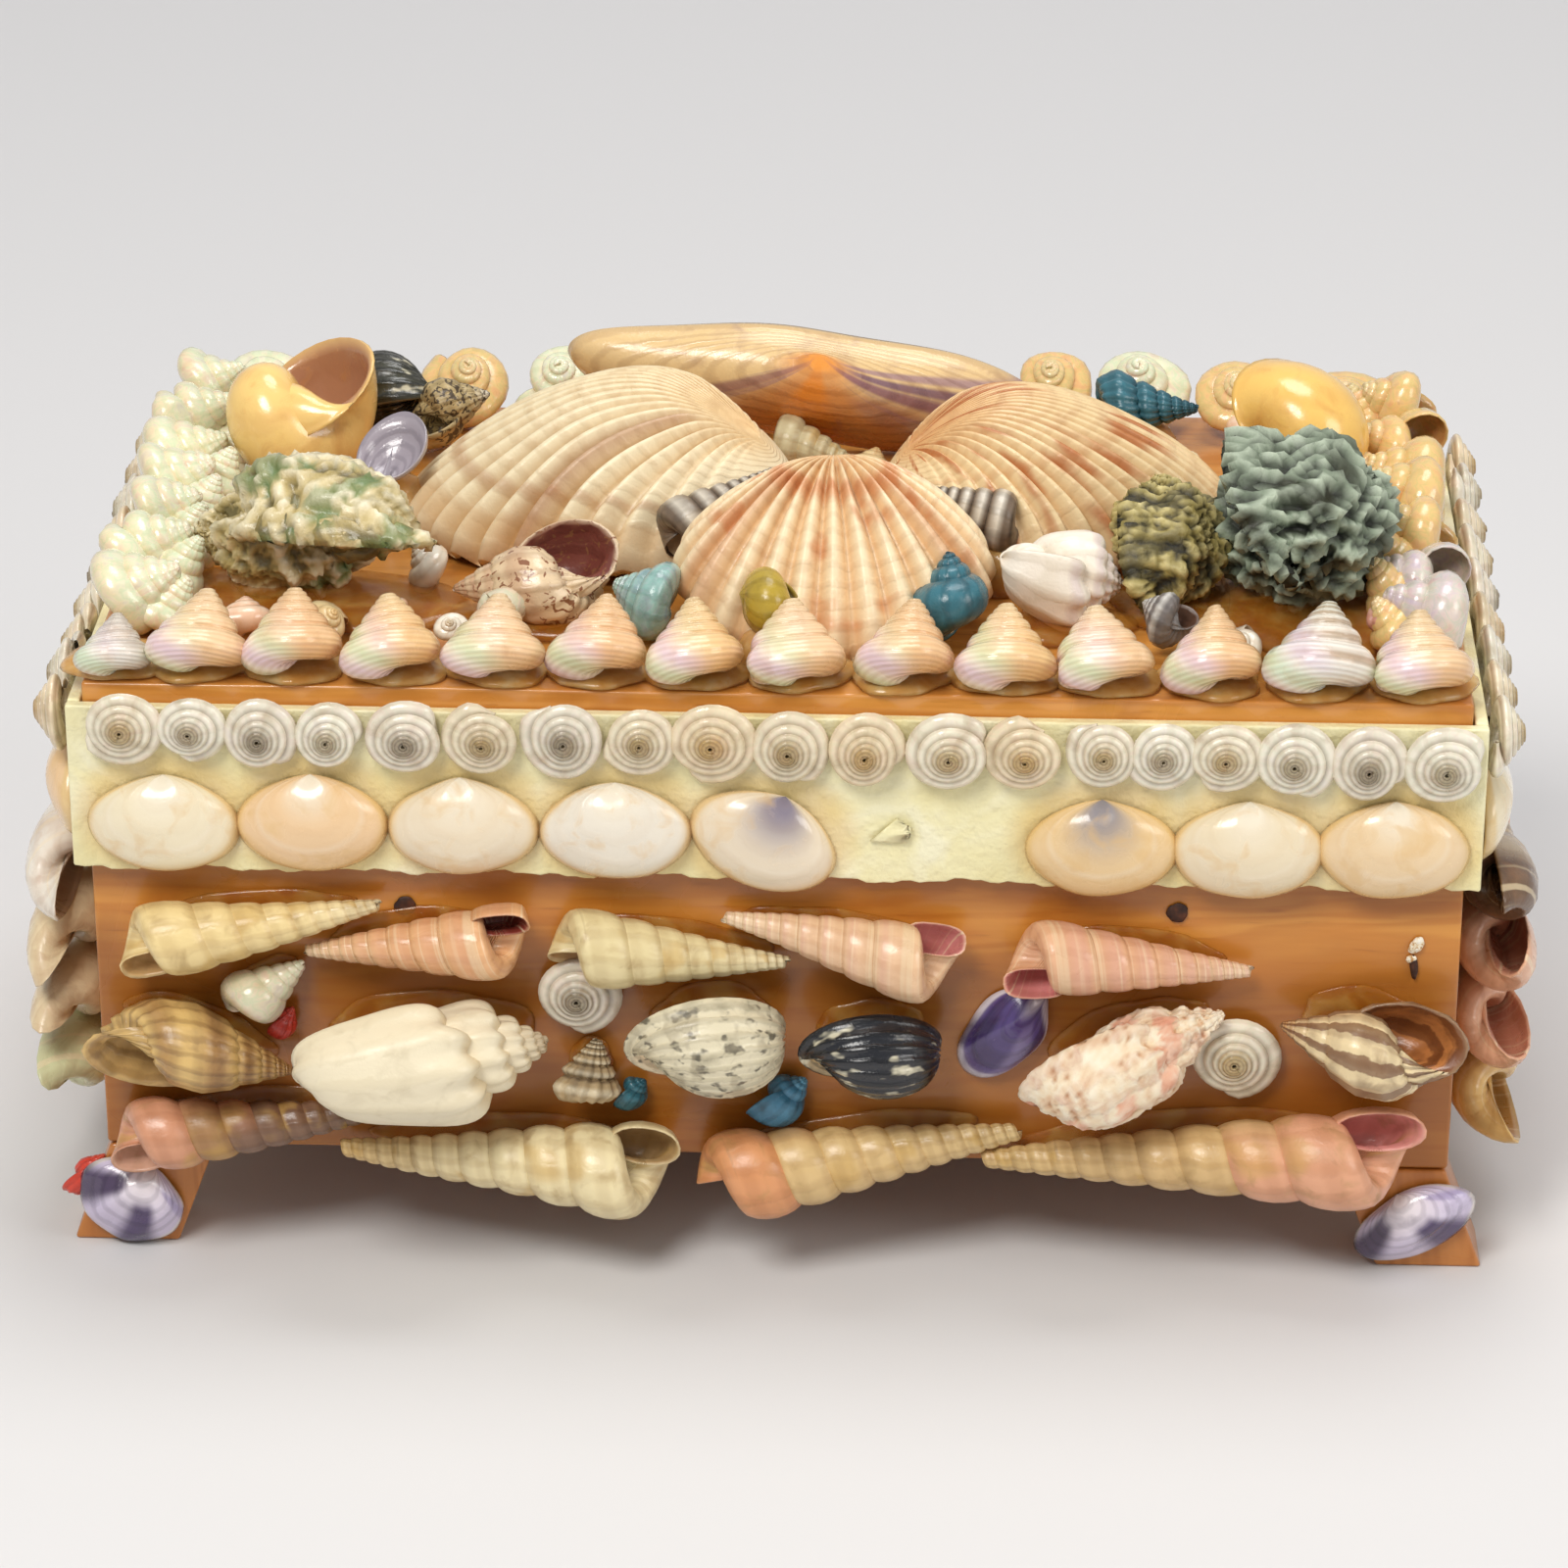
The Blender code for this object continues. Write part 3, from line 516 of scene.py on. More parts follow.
def makeCamera():
    azimuth, elevation = math.radians(camera["azimuth"]), math.radians(camera["elevation"])
    forward = Vector((-math.sin(azimuth) * math.cos(elevation), math.cos(azimuth) * math.cos(elevation),
                      -math.sin(elevation)))
    data = bpy.data.cameras.new("camera")
    data.lens = camera["lens"]
    data.sensor_width = 36
    data.clip_start = 0.01
    view = bpy.data.objects.new("camera", data)
    view.location = camera["place"]
    view.rotation_mode = "QUATERNION"
    view.rotation_quaternion = forward.to_track_quat("-Z", "Y")
    bpy.context.scene.collection.objects.link(view)
    bpy.context.scene.camera = view
    bpy.context.scene.view_settings.view_transform = "Standard"


def softBox(name, place, aim, size, power, colour=(1, 1, 1)):
    data = bpy.data.lights.new(name, "AREA")
    data.shape = "DISK"
    data.size = size
    data.energy = power
    data.color = colour
    light = bpy.data.objects.new(name, data)
    light.location = place
    light.rotation_mode = "QUATERNION"
    light.rotation_quaternion = (Vector(aim) - Vector(place)).to_track_quat("-Z", "Y")
    bpy.context.scene.collection.objects.link(light)


def makeStudio():
    makeCamera()
    middle = (0, 0, 0.06)
    softBox("keyLight", (-0.35, -0.75, 1.05), middle, 0.5, 9.6, (1.0, 0.975, 0.93))
    softBox("fillLight", (0.85, -0.45, 0.55), middle, 0.5, 3.0, (1.0, 0.975, 0.94))
    softBox("topLight", (0.1, 0.25, 1.15), middle, 0.6, 5.2)
    world = bpy.data.worlds.new("studio")
    world.use_nodes = True
    world.node_tree.nodes["Background"].inputs["Color"].default_value = (0.93, 0.93, 0.95, 1)
    world.node_tree.nodes["Background"].inputs["Strength"].default_value = 0.40
    bpy.context.scene.world = world
    # The floor is a flat sheet that rises behind the box in a quarter circle.
    run = np.linspace(0, 1, 40)
    bend = 0.8
    turn = np.clip((run - 0.5) * 2, 0, 1) * math.pi / 2
    y = np.where(run < 0.5, -1.6 + run * 2 * 2.6, 1.0 + bend * np.sin(turn))
    z = np.where(run < 0.5, 0.0, bend * (1 - np.cos(turn)))
    profile = np.concatenate([np.stack([y, z], -1), [[1.8, 2.6]]])
    points = np.array([(x, py, pz) for py, pz in profile for x in (-2.4, 2.4)])
    strips = [(2 * i, 2 * i + 1, 2 * i + 3, 2 * i + 2) for i in range(len(profile) - 1)]
    mesh = bpy.data.meshes.new("floor")
    mesh.from_pydata(points.tolist(), [], strips)
    mesh.polygons.foreach_set("use_smooth", [True] * len(strips))
    paint = Paint("paleFloor")
    back = paint.add("ShaderNodeSeparateXYZ", {0: paint.place}).outputs["Y"]
    # The sweep is painted darker in front and lighter towards the back, as painted light that stands for
    # how the lamps fall on it. A faint cloudy grey lies over that.
    tone = paint.mix(paint.spread(back, 0.3, 1.5), colourOf("d8d7d7"), colourOf("f7f6f7"))
    tone = paint.mix(paint.maths("MULTIPLY", paint.noise(3.0, 2), 0.3), tone, colourOf("e0dfdf"))
    mesh.materials.append(paint.finish(tone, 0.75))
    floor = bpy.data.objects.new("floor", mesh)
    bpy.context.scene.collection.objects.link(floor)


makeStudio()
print("stage: studio")

# Woodwork. Boards have lightly rounded edges.

# The body's pine turns dark brown from 50 mm down to 40 mm, which is glue soaked in among the shells
# together with painted shade between them. It also darkens from 50.5 mm up to 54.5 mm, which is a painted
# shadow of the skirt on the strip just under it.
woodLong = woodFinish("pineAlongX", "X", darkenedHeights=((0.050, 0.040, 0.7, 0.02), (0.0505, 0.0545, 0.6, 0.0)))
woodDeep = woodFinish("pineAlongY", "Y")
# The lid's pine is painted lighter than the body's, as painted light against the shade of the pearl row on
# the lid's front edge. Above 81.5 mm, on its top face, it turns a fifth of the way to dark brown.
woodLidLightened = woodFinish("pineLidLightened", "X", "e6a452", "c47c32", 0.25, 0.6, ((0.0815, 0.0832, 0.2, 0.003),))
woodLeg = woodFinish("pineLeg", "Z", "c98340", "a86224")


def board(node, material, cuts, ending="_wood", edge=0.5, wave=0.12, lean=0.0, seed=1):
    # A box of small faces in the place of a node, with rounded edges: each point of a cube's grid is
    # moved in towards the middle by the edge's radius and then out again along the direction from there
    # to its old place. lean moves the foot of the board outwards, and takes that much off its width.
    low, high = (np.array(v) * 1000 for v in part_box(node))
    low[0] -= min(lean, 0)
    high[0] -= max(lean, 0)
    surfaces = []
    for axis in range(3):
        u, v = (axis + 1) % 3, (axis + 2) % 3
        for end in (0.0, 1.0):
            a = rimmed(cuts[u], edge / (high[u] - low[u]))
            b = rimmed(cuts[v], edge / (high[v] - low[v]))
            grid = np.zeros((len(a), len(b), 3))
            grid[..., axis], grid[..., u], grid[..., v] = end, a[:, None], b[None]
            i, j = np.meshgrid(np.arange(len(a) - 1), np.arange(len(b) - 1), indexing="ij")
            corner = i * len(b) + j
            quads = np.stack([corner, corner + len(b), corner + len(b) + 1, corner + 1], -1).reshape(-1, 4)
            if end == 0.0:
                quads = quads[:, ::-1]
            surfaces.append((grid.reshape(-1, 3), quads))
    starts = np.cumsum([0] + [len(p) for p, _ in surfaces[:-1]])
    points = low + np.concatenate([p for p, _ in surfaces]) * (high - low)
    core = np.clip(points, low + edge, high - edge)
    off = points - core
    far = np.linalg.norm(off, axis=1, keepdims=True)
    points = core + off / np.maximum(far, 1e-9) * np.minimum(far, edge)
    points[:, 0] += lean * (high[2] - points[:, 2]) / (high[2] - low[2])
    quads = np.concatenate([q + s for (_, q), s in zip(surfaces, starts)])
    mesh = bpy.data.meshes.new(node + ending)
    waves = np.random.default_rng(seed)
    slow = np.sin(points @ (waves.normal(size=3) * 0.11) + seed) * wave
    points += slow[:, None] * np.array([0.0, 0.4, 0.4])
    mesh.from_pydata((points * millimetre).tolist(), [], quads.tolist())
    weld(mesh)
    riding(node + ending, mesh, material, slotOf[node], node)
    return mesh


def rimmed(count, edge):
    # Places from 0 to 1 with three extra ones inside each end, where the edge is rounded.
    rim = np.array([0.0, 0.35, 0.7, 1.0]) * edge
    return np.concatenate([rim, np.linspace(edge, 1 - edge, count)[1:-1], 1 - rim[::-1]])


def weld(mesh):
    # Joins the six sides of a board into one closed skin.
    work = bmesh.new()
    work.from_mesh(mesh)
    bmesh.ops.remove_doubles(work, verts=work.verts, dist=1e-7)
    bmesh.ops.dissolve_degenerate(work, edges=work.edges, dist=1e-8)
    bmesh.ops.recalc_face_normals(work, faces=work.faces)
    for face in work.faces:
        face.smooth = True
    work.to_mesh(mesh)
    work.free()


def makeWoodwork():
    named = {
        "body_front": (woodLong, (50, 4, 18)), "body_back": (woodLong, (50, 4, 18)),
        "body_left": (woodDeep, (4, 30, 18)), "body_right": (woodDeep, (4, 30, 18)),
        "body_floor": (woodLong, (40, 24, 4)), "lid_board": (woodLidLightened, (60, 34, 4)),
    }
    for seed, (node, (material, cuts)) in enumerate(named.items()):
        board(node, material, cuts, seed=seed)
    splay = 5.5
    for node in ("leg_front_left", "leg_front_right", "leg_back_left", "leg_back_right"):
        board(node, woodLeg, (8, 6, 8), wave=0.0, lean=-splay if "left" in node else splay)


makeWoodwork()
print("stage: woodwork")

cardPaint = Paint("paleCard")
cardCloud = cardPaint.noise(90, 4, distortion=0.8)
cardFibre = cardPaint.noise(700, 5)
cardColour = cardPaint.ramp(cardCloud, [(0.30, "e9dea6"), (0.50, "f0e8b8"), (0.66, "f4efcc")])
cardSpots = cardPaint.maths("MULTIPLY", cardPaint.spread(cardPaint.noise(45, 5), 0.58, 0.72), 0.35)
cardColour = cardPaint.mix(cardSpots, cardColour, colourOf("d6bd72"))
cardColour = cardPaint.mix(cardPaint.attribute("stain"), cardColour, colourOf("dcb050"))
cardFinish = cardPaint.finish(cardColour, 0.45, cardPaint.maths("ADD", cardCloud, cardFibre), 0.0007, 0.2)

# How far the lower edge of a strip wanders, in millimetres
ragged = 0.28

# Where the clams sit on each strip, across and up
clamPlaces = {
    "skirt_front": [(-79.6, 7.4), (-60.2, 7.8), (-40.6, 7.6), (-20.6, 7.4), (-1.0, 6.4), (42.6, 6.2),
                    (61.6, 6.2), (80.4, 6.6)],
    "skirt_back": [(-80 + 20 * i, 11.0) for i in range(9)],
    "skirt_left": [(-40 + 20 * i, 7.8) for i in range(5)],
}
clamPlaces["skirt_right"] = clamPlaces["skirt_left"]


def skirtStrip(node, seed):
    # A strip with a slightly ragged lower edge: the lowest row of points moves up and down by a sum of
    # sines along the strip.
    # A stain of glue fades out round each clam with the distance from an ellipse.
    low, high = (np.array(v) * 1000 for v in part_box(node))
    cuts = (160, 90, 24) if "front" in node else (80, 60, 12)
    mesh = board(node, cardFinish, cuts, "_card", edge=0.35, wave=0.0)
    points = np.empty(len(mesh.vertices) * 3, np.float32)
    mesh.vertices.foreach_get("co", points)
    points = points.reshape(-1, 3) * 1000
    run = points[:, 0] if high[0] - low[0] > high[1] - low[1] else points[:, 1]
    down = smooth((low[2] + 6 - points[:, 2]) / 6)
    edge = np.sin(run * 0.31 + seed) + 0.7 * np.sin(run * 0.83 + 2 * seed) + 0.5 * np.sin(run * 1.9)
    points[:, 2] += ragged * (edge - 0.6) * down
    mesh.vertices.foreach_set("co", (points * millimetre).astype(np.float32).ravel())
    mesh.update()
    middles = np.array(clamPlaces[node])
    away = np.hypot((run[:, None] - middles[:, 0]) / 10.2, (points[:, 2:] - low[2] - middles[:, 1]) / 8.0)
    away = away.min(axis=1)
    stain = (0.45 * smooth((1.35 - away) / 0.4)).astype(np.float32)
    mesh.attributes.new("stain", "FLOAT", "POINT").data.foreach_set("value", stain)


for number, node in enumerate(("skirt_front", "skirt_back", "skirt_left", "skirt_right")):
    skirtStrip(node, number * 1.7)
print("stage: skirt")

# Glue, nails and the chip in the front board

gluePaint = Paint("setGlue")
glueCloud = gluePaint.noise(220, 4, distortion=0.8)
glueTone = gluePaint.ramp(glueCloud, [(0.32, "b8661a"), (0.50, "cc822a"), (0.66, "e0a650")])
glueFilm = gluePaint.finish(glueTone, 0.14, glueCloud, 0.0006, 0.5, 0.4)

amberPaint = Paint("amberGlue")
amberTone = amberPaint.ramp(amberPaint.noise(300, 4),
                            [(0.35, "d99a48"), (0.55, "e6b468"), (0.68, "efcd92")])
amberGlue = amberPaint.finish(amberTone, 0.16, amberPaint.noise(500, 3), 0.0004, 0.4, 0.6)


def gluePad(face, middle, length, width, angle, height, seed):
    # A puddle of set glue: an ellipse whose edge wanders by three sines. Its height falls from the
    # middle by the square root of one less the fourth power of the share of the way out.
    wander = np.random.default_rng(seed).uniform(0, 6.3, 3)
    turn = 2 * math.pi * np.arange(36)[None] / 36
    edge = 1 + 0.06 * np.sin(2 * turn + wander[0]) + 0.05 * np.sin(3 * turn + wander[1])
    edge = edge + 0.03 * np.sin(7 * turn + wander[2])
    share = np.array([1.0, 0.97, 0.90, 0.78, 0.6, 0.35])[:, None]
    lift = np.broadcast_to(height * np.sqrt(1 - share ** 4), (len(share), 36))
    along, aside = share * edge * length / 2 * np.cos(turn), share * edge * width / 2 * np.sin(turn)
    rings = np.stack([along, aside, lift], -1)
    blank = {key: np.zeros((1, 1, 1)) for key in ("grown", "around")}
    pad = ringSkin(rings, (0, 0, -0.1), (0, 0, height), tint=np.ones((1, 1, 3)), **blank)
    way = math.radians(angle)
    towards = (middle[0] + math.cos(way), middle[1] + math.sin(way), 0.0)
    return setDown(face, pad, (*middle, 0.0), towards, 0.1)


def glueUnder(name, face, shells, material=glueFilm, more=0.8, height=0.7):
    # One piece with a puddle under each shell. A shell is its base, its tip and its width on the face.
    pads = []
    for number, (base, tip, width) in enumerate(shells):
        middle = ((base[0] + tip[0]) / 2, (base[1] + tip[1]) / 2)
        angle = math.degrees(math.atan2(tip[1] - base[1], tip[0] - base[0]))
        length = math.dist(base, tip) * more
        pads.append(gluePad(face, middle, length, width * more * 0.85, angle, height, number))
    meshPiece(name, pads, material, "yellow_shell")


nailPaint = Paint("oldNail")
nailRust = nailPaint.ramp(nailPaint.noise(900, 4), [(0.35, "2a1208"), (0.55, "3f2010"), (0.70, "5a2f14")])
nailFinish = nailPaint.finish(nailRust, 0.6, nailPaint.noise(1500, 3), 0.0002)
nails = [gluePad("front", (-48.7, 36.6), 3.0, 2.7, 0, 0.25, 4),
         gluePad("front", (52.8, 37.7), 3.0, 2.7, 0, 0.25, 5)]
meshPiece("nail_heads", nails, nailFinish, "brown_shell")

chipPaint = Paint("bareFibre")
chipTone = chipPaint.ramp(chipPaint.noise(1400, 5, distortion=1.5),
                          [(0.38, "b98a55"), (0.50, "e9d9b8"), (0.62, "f5efe0")])
chipFinish = chipPaint.finish(chipTone, 0.8, chipPaint.noise(1800, 5), 0.0006)
chips = [gluePad("front", (84.2, 33.6), 2.6, 1.8, 60, 0.5, 8),
         gluePad("front", (83.6, 31.6), 1.5, 1.0, 10, 0.4, 9)]
meshPiece("chipped_wood", chips, chipFinish, "white_shell")
meshPiece("chip_drip", gluePad("front", (84.0, 30.4), 1.1, 3.6, 8, 0.4, 10), nailFinish, "brown_shell")

# Turret shells on the front of the box

creamTurret = shellFinish("creamTurretShell", 0.36, 0.15, "a8864c", 0.45, 9, 0.16, cords=6, depth=0.00018,
                          streaks=(("c9a050", 2.5, 3.0, 0.55, 0.5), ("8d6a40", 14.0, 1.4, 0.66, 0.35)))
pinkTurret = shellFinish("pinkTurretShell", 0.32, 0.2, "b9865a", 0.25, 9, 0.14, cords=5, depth=0.00014,
                         streaks=(("f3dfb8", 22.0, 0.4, 0.52, 0.5), ("b4706c", 7.0, 0.3, 0.60, 0.5)))
turretForm = dict(turns=10.5, growth=1.205, tall=1.35, offset=1.7, overlap=0.74, slant=7.0, square=0.70,
                  steps=22, sides=20, cords=7, cordDepth=0.010, lip=1.0)
roundedForm = dict(turretForm, turns=11.0, growth=1.17, tall=1.1, offset=1.5, overlap=0.80, slant=5.0,
                   square=0.9)
turretLooks = {
    "yellow": colours("edd498", "efe0b6", "d9b27a", (0.21, 0.05, "c7a263", 0.5)),
    "peach": colours("e8b482", "e8cca0", "8d3f33", (0.0, 0.05, "c98070", 0.25),
                     (0.21, 0.05, "c49a72", 0.5)),
    "green": colours("e3d2a0", "e9dab0", "cda06a", (0.21, 0.05, "b69a62", 0.5)),
    "pinkCream": colours("ebc49c", "f0d8b4", "d88d8a", (0.05, 0.04, "d69c8c", 0.4),
                         (0.21, 0.05, "c7a076", 0.45)),
    "pink": colours("e8b58e", "ecceaa", "d98a86", (0.03, 0.04, "c98a86", 0.35),
                    (0.21, 0.05, "bf9a6e", 0.5)),
    "brown": colours("d79a78", "b98a5c", "e6b9a0",
                     spans=((0.0, 0.78, "6a5240", 0.85), (0.78, 0.88, "94743e", 0.7))),
    "cream": colours("ecdcae", "dcba7c", "b99a6c", (0.2, 0.04, "b8925a", 0.6)),
    "banded": colours("dd9a68", "c9b08a", "e9c09c",
                      spans=((0.0, 0.9, "dcbf86", 0.9), (0.6, 0.64, "a89a90", 0.6),
                             (0.72, 0.76, "b09c90", 0.6))),
    "blush": colours("e2a682", "cdab7a", "e79f98", spans=((0.0, 0.84, "d2b47a", 0.85),)),
}
turrets = [
    ("turret_upper_1", (-86.4, 32.2), (-51.4, 37.6), 10.6, "yellow", creamTurret, 200),
    ("turret_upper_2", (-31.2, 34.8), (-62.0, 31.2), 10.4, "peach", pinkTurret, 165),
    ("turret_upper_3", (-29.4, 33.8), (2.2, 30.9), 10.4, "green", creamTurret, 230),
    ("turret_upper_4", (24.4, 31.0), (-6.8, 36.8), 10.4, "pinkCream", pinkTurret, 215),
    ("turret_upper_5", (30.4, 33.6), (63.0, 30.2), 10.4, "pink", pinkTurret, 165),
    ("turret_lower_1", (-89.0, 3.4), (-50.8, 7.2), 10.8, "brown", creamTurret, 190),
    ("turret_lower_2", (-12.2, 1.2), (-58.0, 2.2), 13.4, "cream", creamTurret, 185),
    ("turret_lower_3", (-10.4, -0.5), (33.0, 6.2), 12.4, "banded", creamTurret, 250),
    ("turret_lower_4", (86.6, 5.9), (27.5, 2.4), 14.2, "blush", creamTurret, 185),
]


def lyingCoil(face, base, tip, width, look, form, facing, seed, drop=0.35, warp=0.25):
    # A snail lying on a face with its side against it, its tip leaning in by a share of its width.
    start, end = (*base, width * drop), (*tip, 0.0)
    shell = coil(math.dist(start, end), width, look, facing=facing, **form)
    return setDown(face, warped(shell, warp, width * 2.2, seed), start, end)


def lyingSnail(face, part, seed, warp=0.25):
    shape = [part[key] for key in ("base", "tip", "width", "look", "form", "facing")]
    return lyingCoil(face, *shape, seed, part.get("drop", 0.35), warp)


for number, (node, base, tip, width, look, material, facing) in enumerate(turrets):
    form = roundedForm if "lower" in node else turretForm
    shell = lyingCoil("front", base, tip, width, turretLooks[look], form, facing, number)
    dressed(node, shell, material, "_shell")
glueUnder("turret_glue", "front", [turret[1:4] for turret in turrets])
print("stage: turrets")

# The mixed row in the middle of the front

whelkForm = dict(turns=5.5, growth=1.62, tall=1.9, offset=0.45, overlap=0.50, slant=6.0, ribs=13,
                 ribDepth=0.045, cords=9, cordDepth=0.03, steps=40, sides=30)
wornForm = dict(whelkForm, ribs=8, ribDepth=0.07, cords=0, cordDepth=0.0, steps=90, sides=70, shoulder=0.3,
                knobs=0.6)
conchForm = dict(turns=5.0, growth=1.62, tall=2.3, offset=0.55, overlap=0.46, slant=-9.0, ribs=11,
                 ribDepth=0.06, steps=80, sides=40, square=0.62, knobs=0.85, shut=0.2)
neriteForm = dict(turns=3.2, growth=2.7, tall=1.25, offset=0.30, overlap=0.34, ribs=24, ribDepth=0.02,
                  steps=110, sides=30)
beadedForm = dict(turns=6.0, growth=1.42, tall=1.0, offset=0.95, overlap=0.80, ribs=14, ribDepth=0.09,
                  cords=6, cordDepth=0.06, steps=56, sides=24)
topForm = dict(turns=5.5, growth=1.45, tall=1.2, offset=0.80, overlap=0.62, slant=14.0, square=0.9,
               cords=13, cordDepth=0.007, steps=26, sides=28, lip=1.0, shut=0.5)
moonForm = dict(turns=4.0, growth=2.1, tall=1.12, offset=0.42, overlap=0.42, slant=16.0, steps=40, sides=30)

whelkShell = shellFinish("whelkShell", 0.36, 0.2, "6e4524", 0.4, 16, 0.3, cords=12, depth=0.0002)
stripedShell = shellFinish("stripedWhelkShell", 0.34, 0.2, "6b3a1c", 0.35, 10, 0.3, cords=8, depth=0.0002,
                           bands=(7.0, "6b3a1c", 0.75, 0.05))
wornShell = shellFinish("wornWhelkShell", 0.6, 0.0, "c98e76", 0.5, 12, 0.2, depth=0.0004)
conchShell = shellFinish("whiteConchShell", 0.42, 0.1, "cdbf9f", 0.4, 12, 0.12, depth=0.0002)
fleckedShell = shellFinish("fleckedNeriteShell", 0.4, 0.15, "8d8469", 0.5, 26, 0.3, depth=0.0003,
                           streaks=(("4a4436", 26.0, 30.0, 0.55, 0.85), ("a0947a", 20.0, 12.0, 0.52, 0.5)))
blackShell = shellFinish("blackNeriteShell", 0.25, 0.35, "15161c", 0.4, 26, 0.5, depth=0.0003,
                         streaks=(("d6cfb4", 12.0, 22.0, 0.58, 0.9),))
pearlShell = shellFinish("pearlShell", 0.22, 0.4, "c9a46c", 0.22, 10, 0.10, pearl=0.35, depth=0.00012)
beadedShell = shellFinish("beadedShell", 0.42, 0.1, "5a4a38", 0.4, 14, 0.25, depth=0.0002)
purpleShell = shellFinish("purpleClamShell", 0.2, 0.45, "3c2c4e", 0.3, 6, 0.2, depth=0.00015)

frontShells = [
    dict(node="whelk_left", base=(-90.6, 21.4), tip=(-63.6, 13.4), width=13.4, form=whelkForm,
         finish=whelkShell, facing=195,
         look=colours("dcb874", "b78a50", "c9a468", (0.05, 0.05, "8a5a30", 0.7),
                      (-0.14, 0.04, "9a6a3c", 0.6), (0.2, 0.03, "efe0bd", 0.7))),
    dict(node="pearl_drop", base=(-72.0, 22.2), tip=(-62.2, 29.2), width=8.4, form=topForm,
         finish=pearlShell, facing=260,
         look=colours("ddd3b8", "e9e0c6", "b9a48a", (-0.2, 0.05, "cbb48a", 0.6))),
    dict(node="ribbed_conch", base=(-62.6, 17.0), tip=(-29.6, 20.0), width=18.0, form=conchForm,
         finish=conchShell, facing=10,
         look=colours("ece0c2", "b9a586", "e9dcc4", (0.24, 0.04, "d2b88a", 0.5))),
    dict(node="beaded_snail", base=(-25.4, 10.2), tip=(-23.4, 18.4), width=9.2, form=beadedForm,
         finish=beadedShell, facing=30,
         look=colours("b79f78", "8d7a5c", "d9c7a4", (0.0, 0.05, "e2d3b2", 0.8),
                      (0.17, 0.03, "5f4c36", 0.8))),
    dict(node="flecked_nerite", base=(-19.0, 20.8), tip=(2.0, 21.4), width=15.0, form=neriteForm,
         finish=fleckedShell, facing=20, look=colours("e0d6b8", "cbbf9c", "e8d2ae")),
    dict(node="black_nerite", base=(3.6, 20.2), tip=(22.4, 19.4), width=12.8, form=neriteForm,
         finish=blackShell, facing=20, look=colours("1e2026", "2a2c33", "e2c48f")),
    dict(node="worn_whelk", base=(33.8, 13.0), tip=(59.0, 25.6), width=14.4, form=wornForm,
         finish=wornShell, facing=30,
         look=colours("ead2c2", "dfc3ab", "e6c3b4", (0.02, 0.06, "e9a58c", 0.45))),
    dict(node="striped_whelk", base=(90.4, 19.6), tip=(66.8, 24.6), width=13.8, form=whelkForm,
         finish=stripedShell, facing=200,
         look=colours("ecd6a8", "c08c54", "c07c44", (0.2, 0.03, "8a5028", 0.6))),
]
worn = dict(amount=0.5, size=5.5,
            stops=((0.0, "c09068"), (0.12, "e3c4a0"), (0.5, "efdcbc"), (1.0, "f4e8d0")),
            patches=("e2a183", 9.0, 0.6), grain=4)
for number, part in enumerate(frontShells):
    shell = lyingSnail("front", part, 20 + number)
    if part["node"] == "worn_whelk":
        shell = crusted(shell, seed=3, **worn)
    dressed(part["node"], shell, part["finish"], "_shell")
glueUnder("front_glue", "front", [(part["base"], part["tip"], part["width"]) for part in frontShells])


# Top shells set flat side down, so that their spiral looks out

def topDisc(face, middle, width, look, height, spin):
    # A top shell on its base: the coil's axis runs straight out of the face.
    form = dict(turns=5.2, growth=1.38, tall=1.0, offset=1.35, overlap=0.60, slant=32.0, square=1.0,
                steps=28, sides=20, lip=1.0, shut=0.7)
    disc = coil(height, width, look, facing=spin, **form)
    return setDown(face, warped(disc, 0.12, width, int(spin) + 3), (*middle, 0.0), (*middle, height))


buttonShell = shellFinish("buttonShell", 0.2, 0.4, "a98f66", 0.45, 8, 0.12, cords=7, pearl=0.12,
                          depth=0.00012, streaks=(("8c7450", 10.0, 0.3, 0.60, 0.5),))


def buttonLook(base, tip, seam, strength=0.8):
    # A pearly whorl with a dark seam between the turns and a darker middle.
    return colours(base, tip, base, (0.25, 0.035, seam, strength), (-0.20, 0.04, seam, 0.6),
                   (0.10, 0.015, seam, 0.35))


buttonLooks = [
    buttonLook("f0e6d0", "b39a6c", "7d6440"), buttonLook("eddfc4", "a68c5e", "7a6038"),
    buttonLook("f1ead8", "a8987a", "6e6250"), buttonLook("eedcbc", "b8965e", "8f6e40"),
    buttonLook("ece2d0", "8f8068", "5e5344", 0.9),
]
for node, middle, width, look in (("small_button", (-25.6, 24.4), 11.2, 4),
                                  ("pearl_button", (61.2, 17.0), 12.0, 0)):
    disc = topDisc("front", middle, width, buttonLooks[look], width * 0.42, 60)
    dressed(node, disc, buttonShell, "_shell")

clamLook = valveColours("f3e9d3", "fbf6ea", rings=((0.97, 0.05, "e3c68c", 0.7),))


def smallClam(face, middle, length, width, angle, look, height, rows=14, columns=40, **more):
    # A small valve flat on a face, its beak pointing at `angle` degrees, anticlockwise from across.
    way = np.array([math.cos(math.radians(angle)), math.sin(math.radians(angle))])
    beak = np.array(middle) + way * length * 0.45
    far = beak - way * length
    form = dict(rows=rows, columns=columns, rim=0.35, point=0.34, overhang=0.0, **more)
    return setDown(face, valve(length, width, height, look, **form), (*beak, 0.0), (*far, 0.0), 0.05)


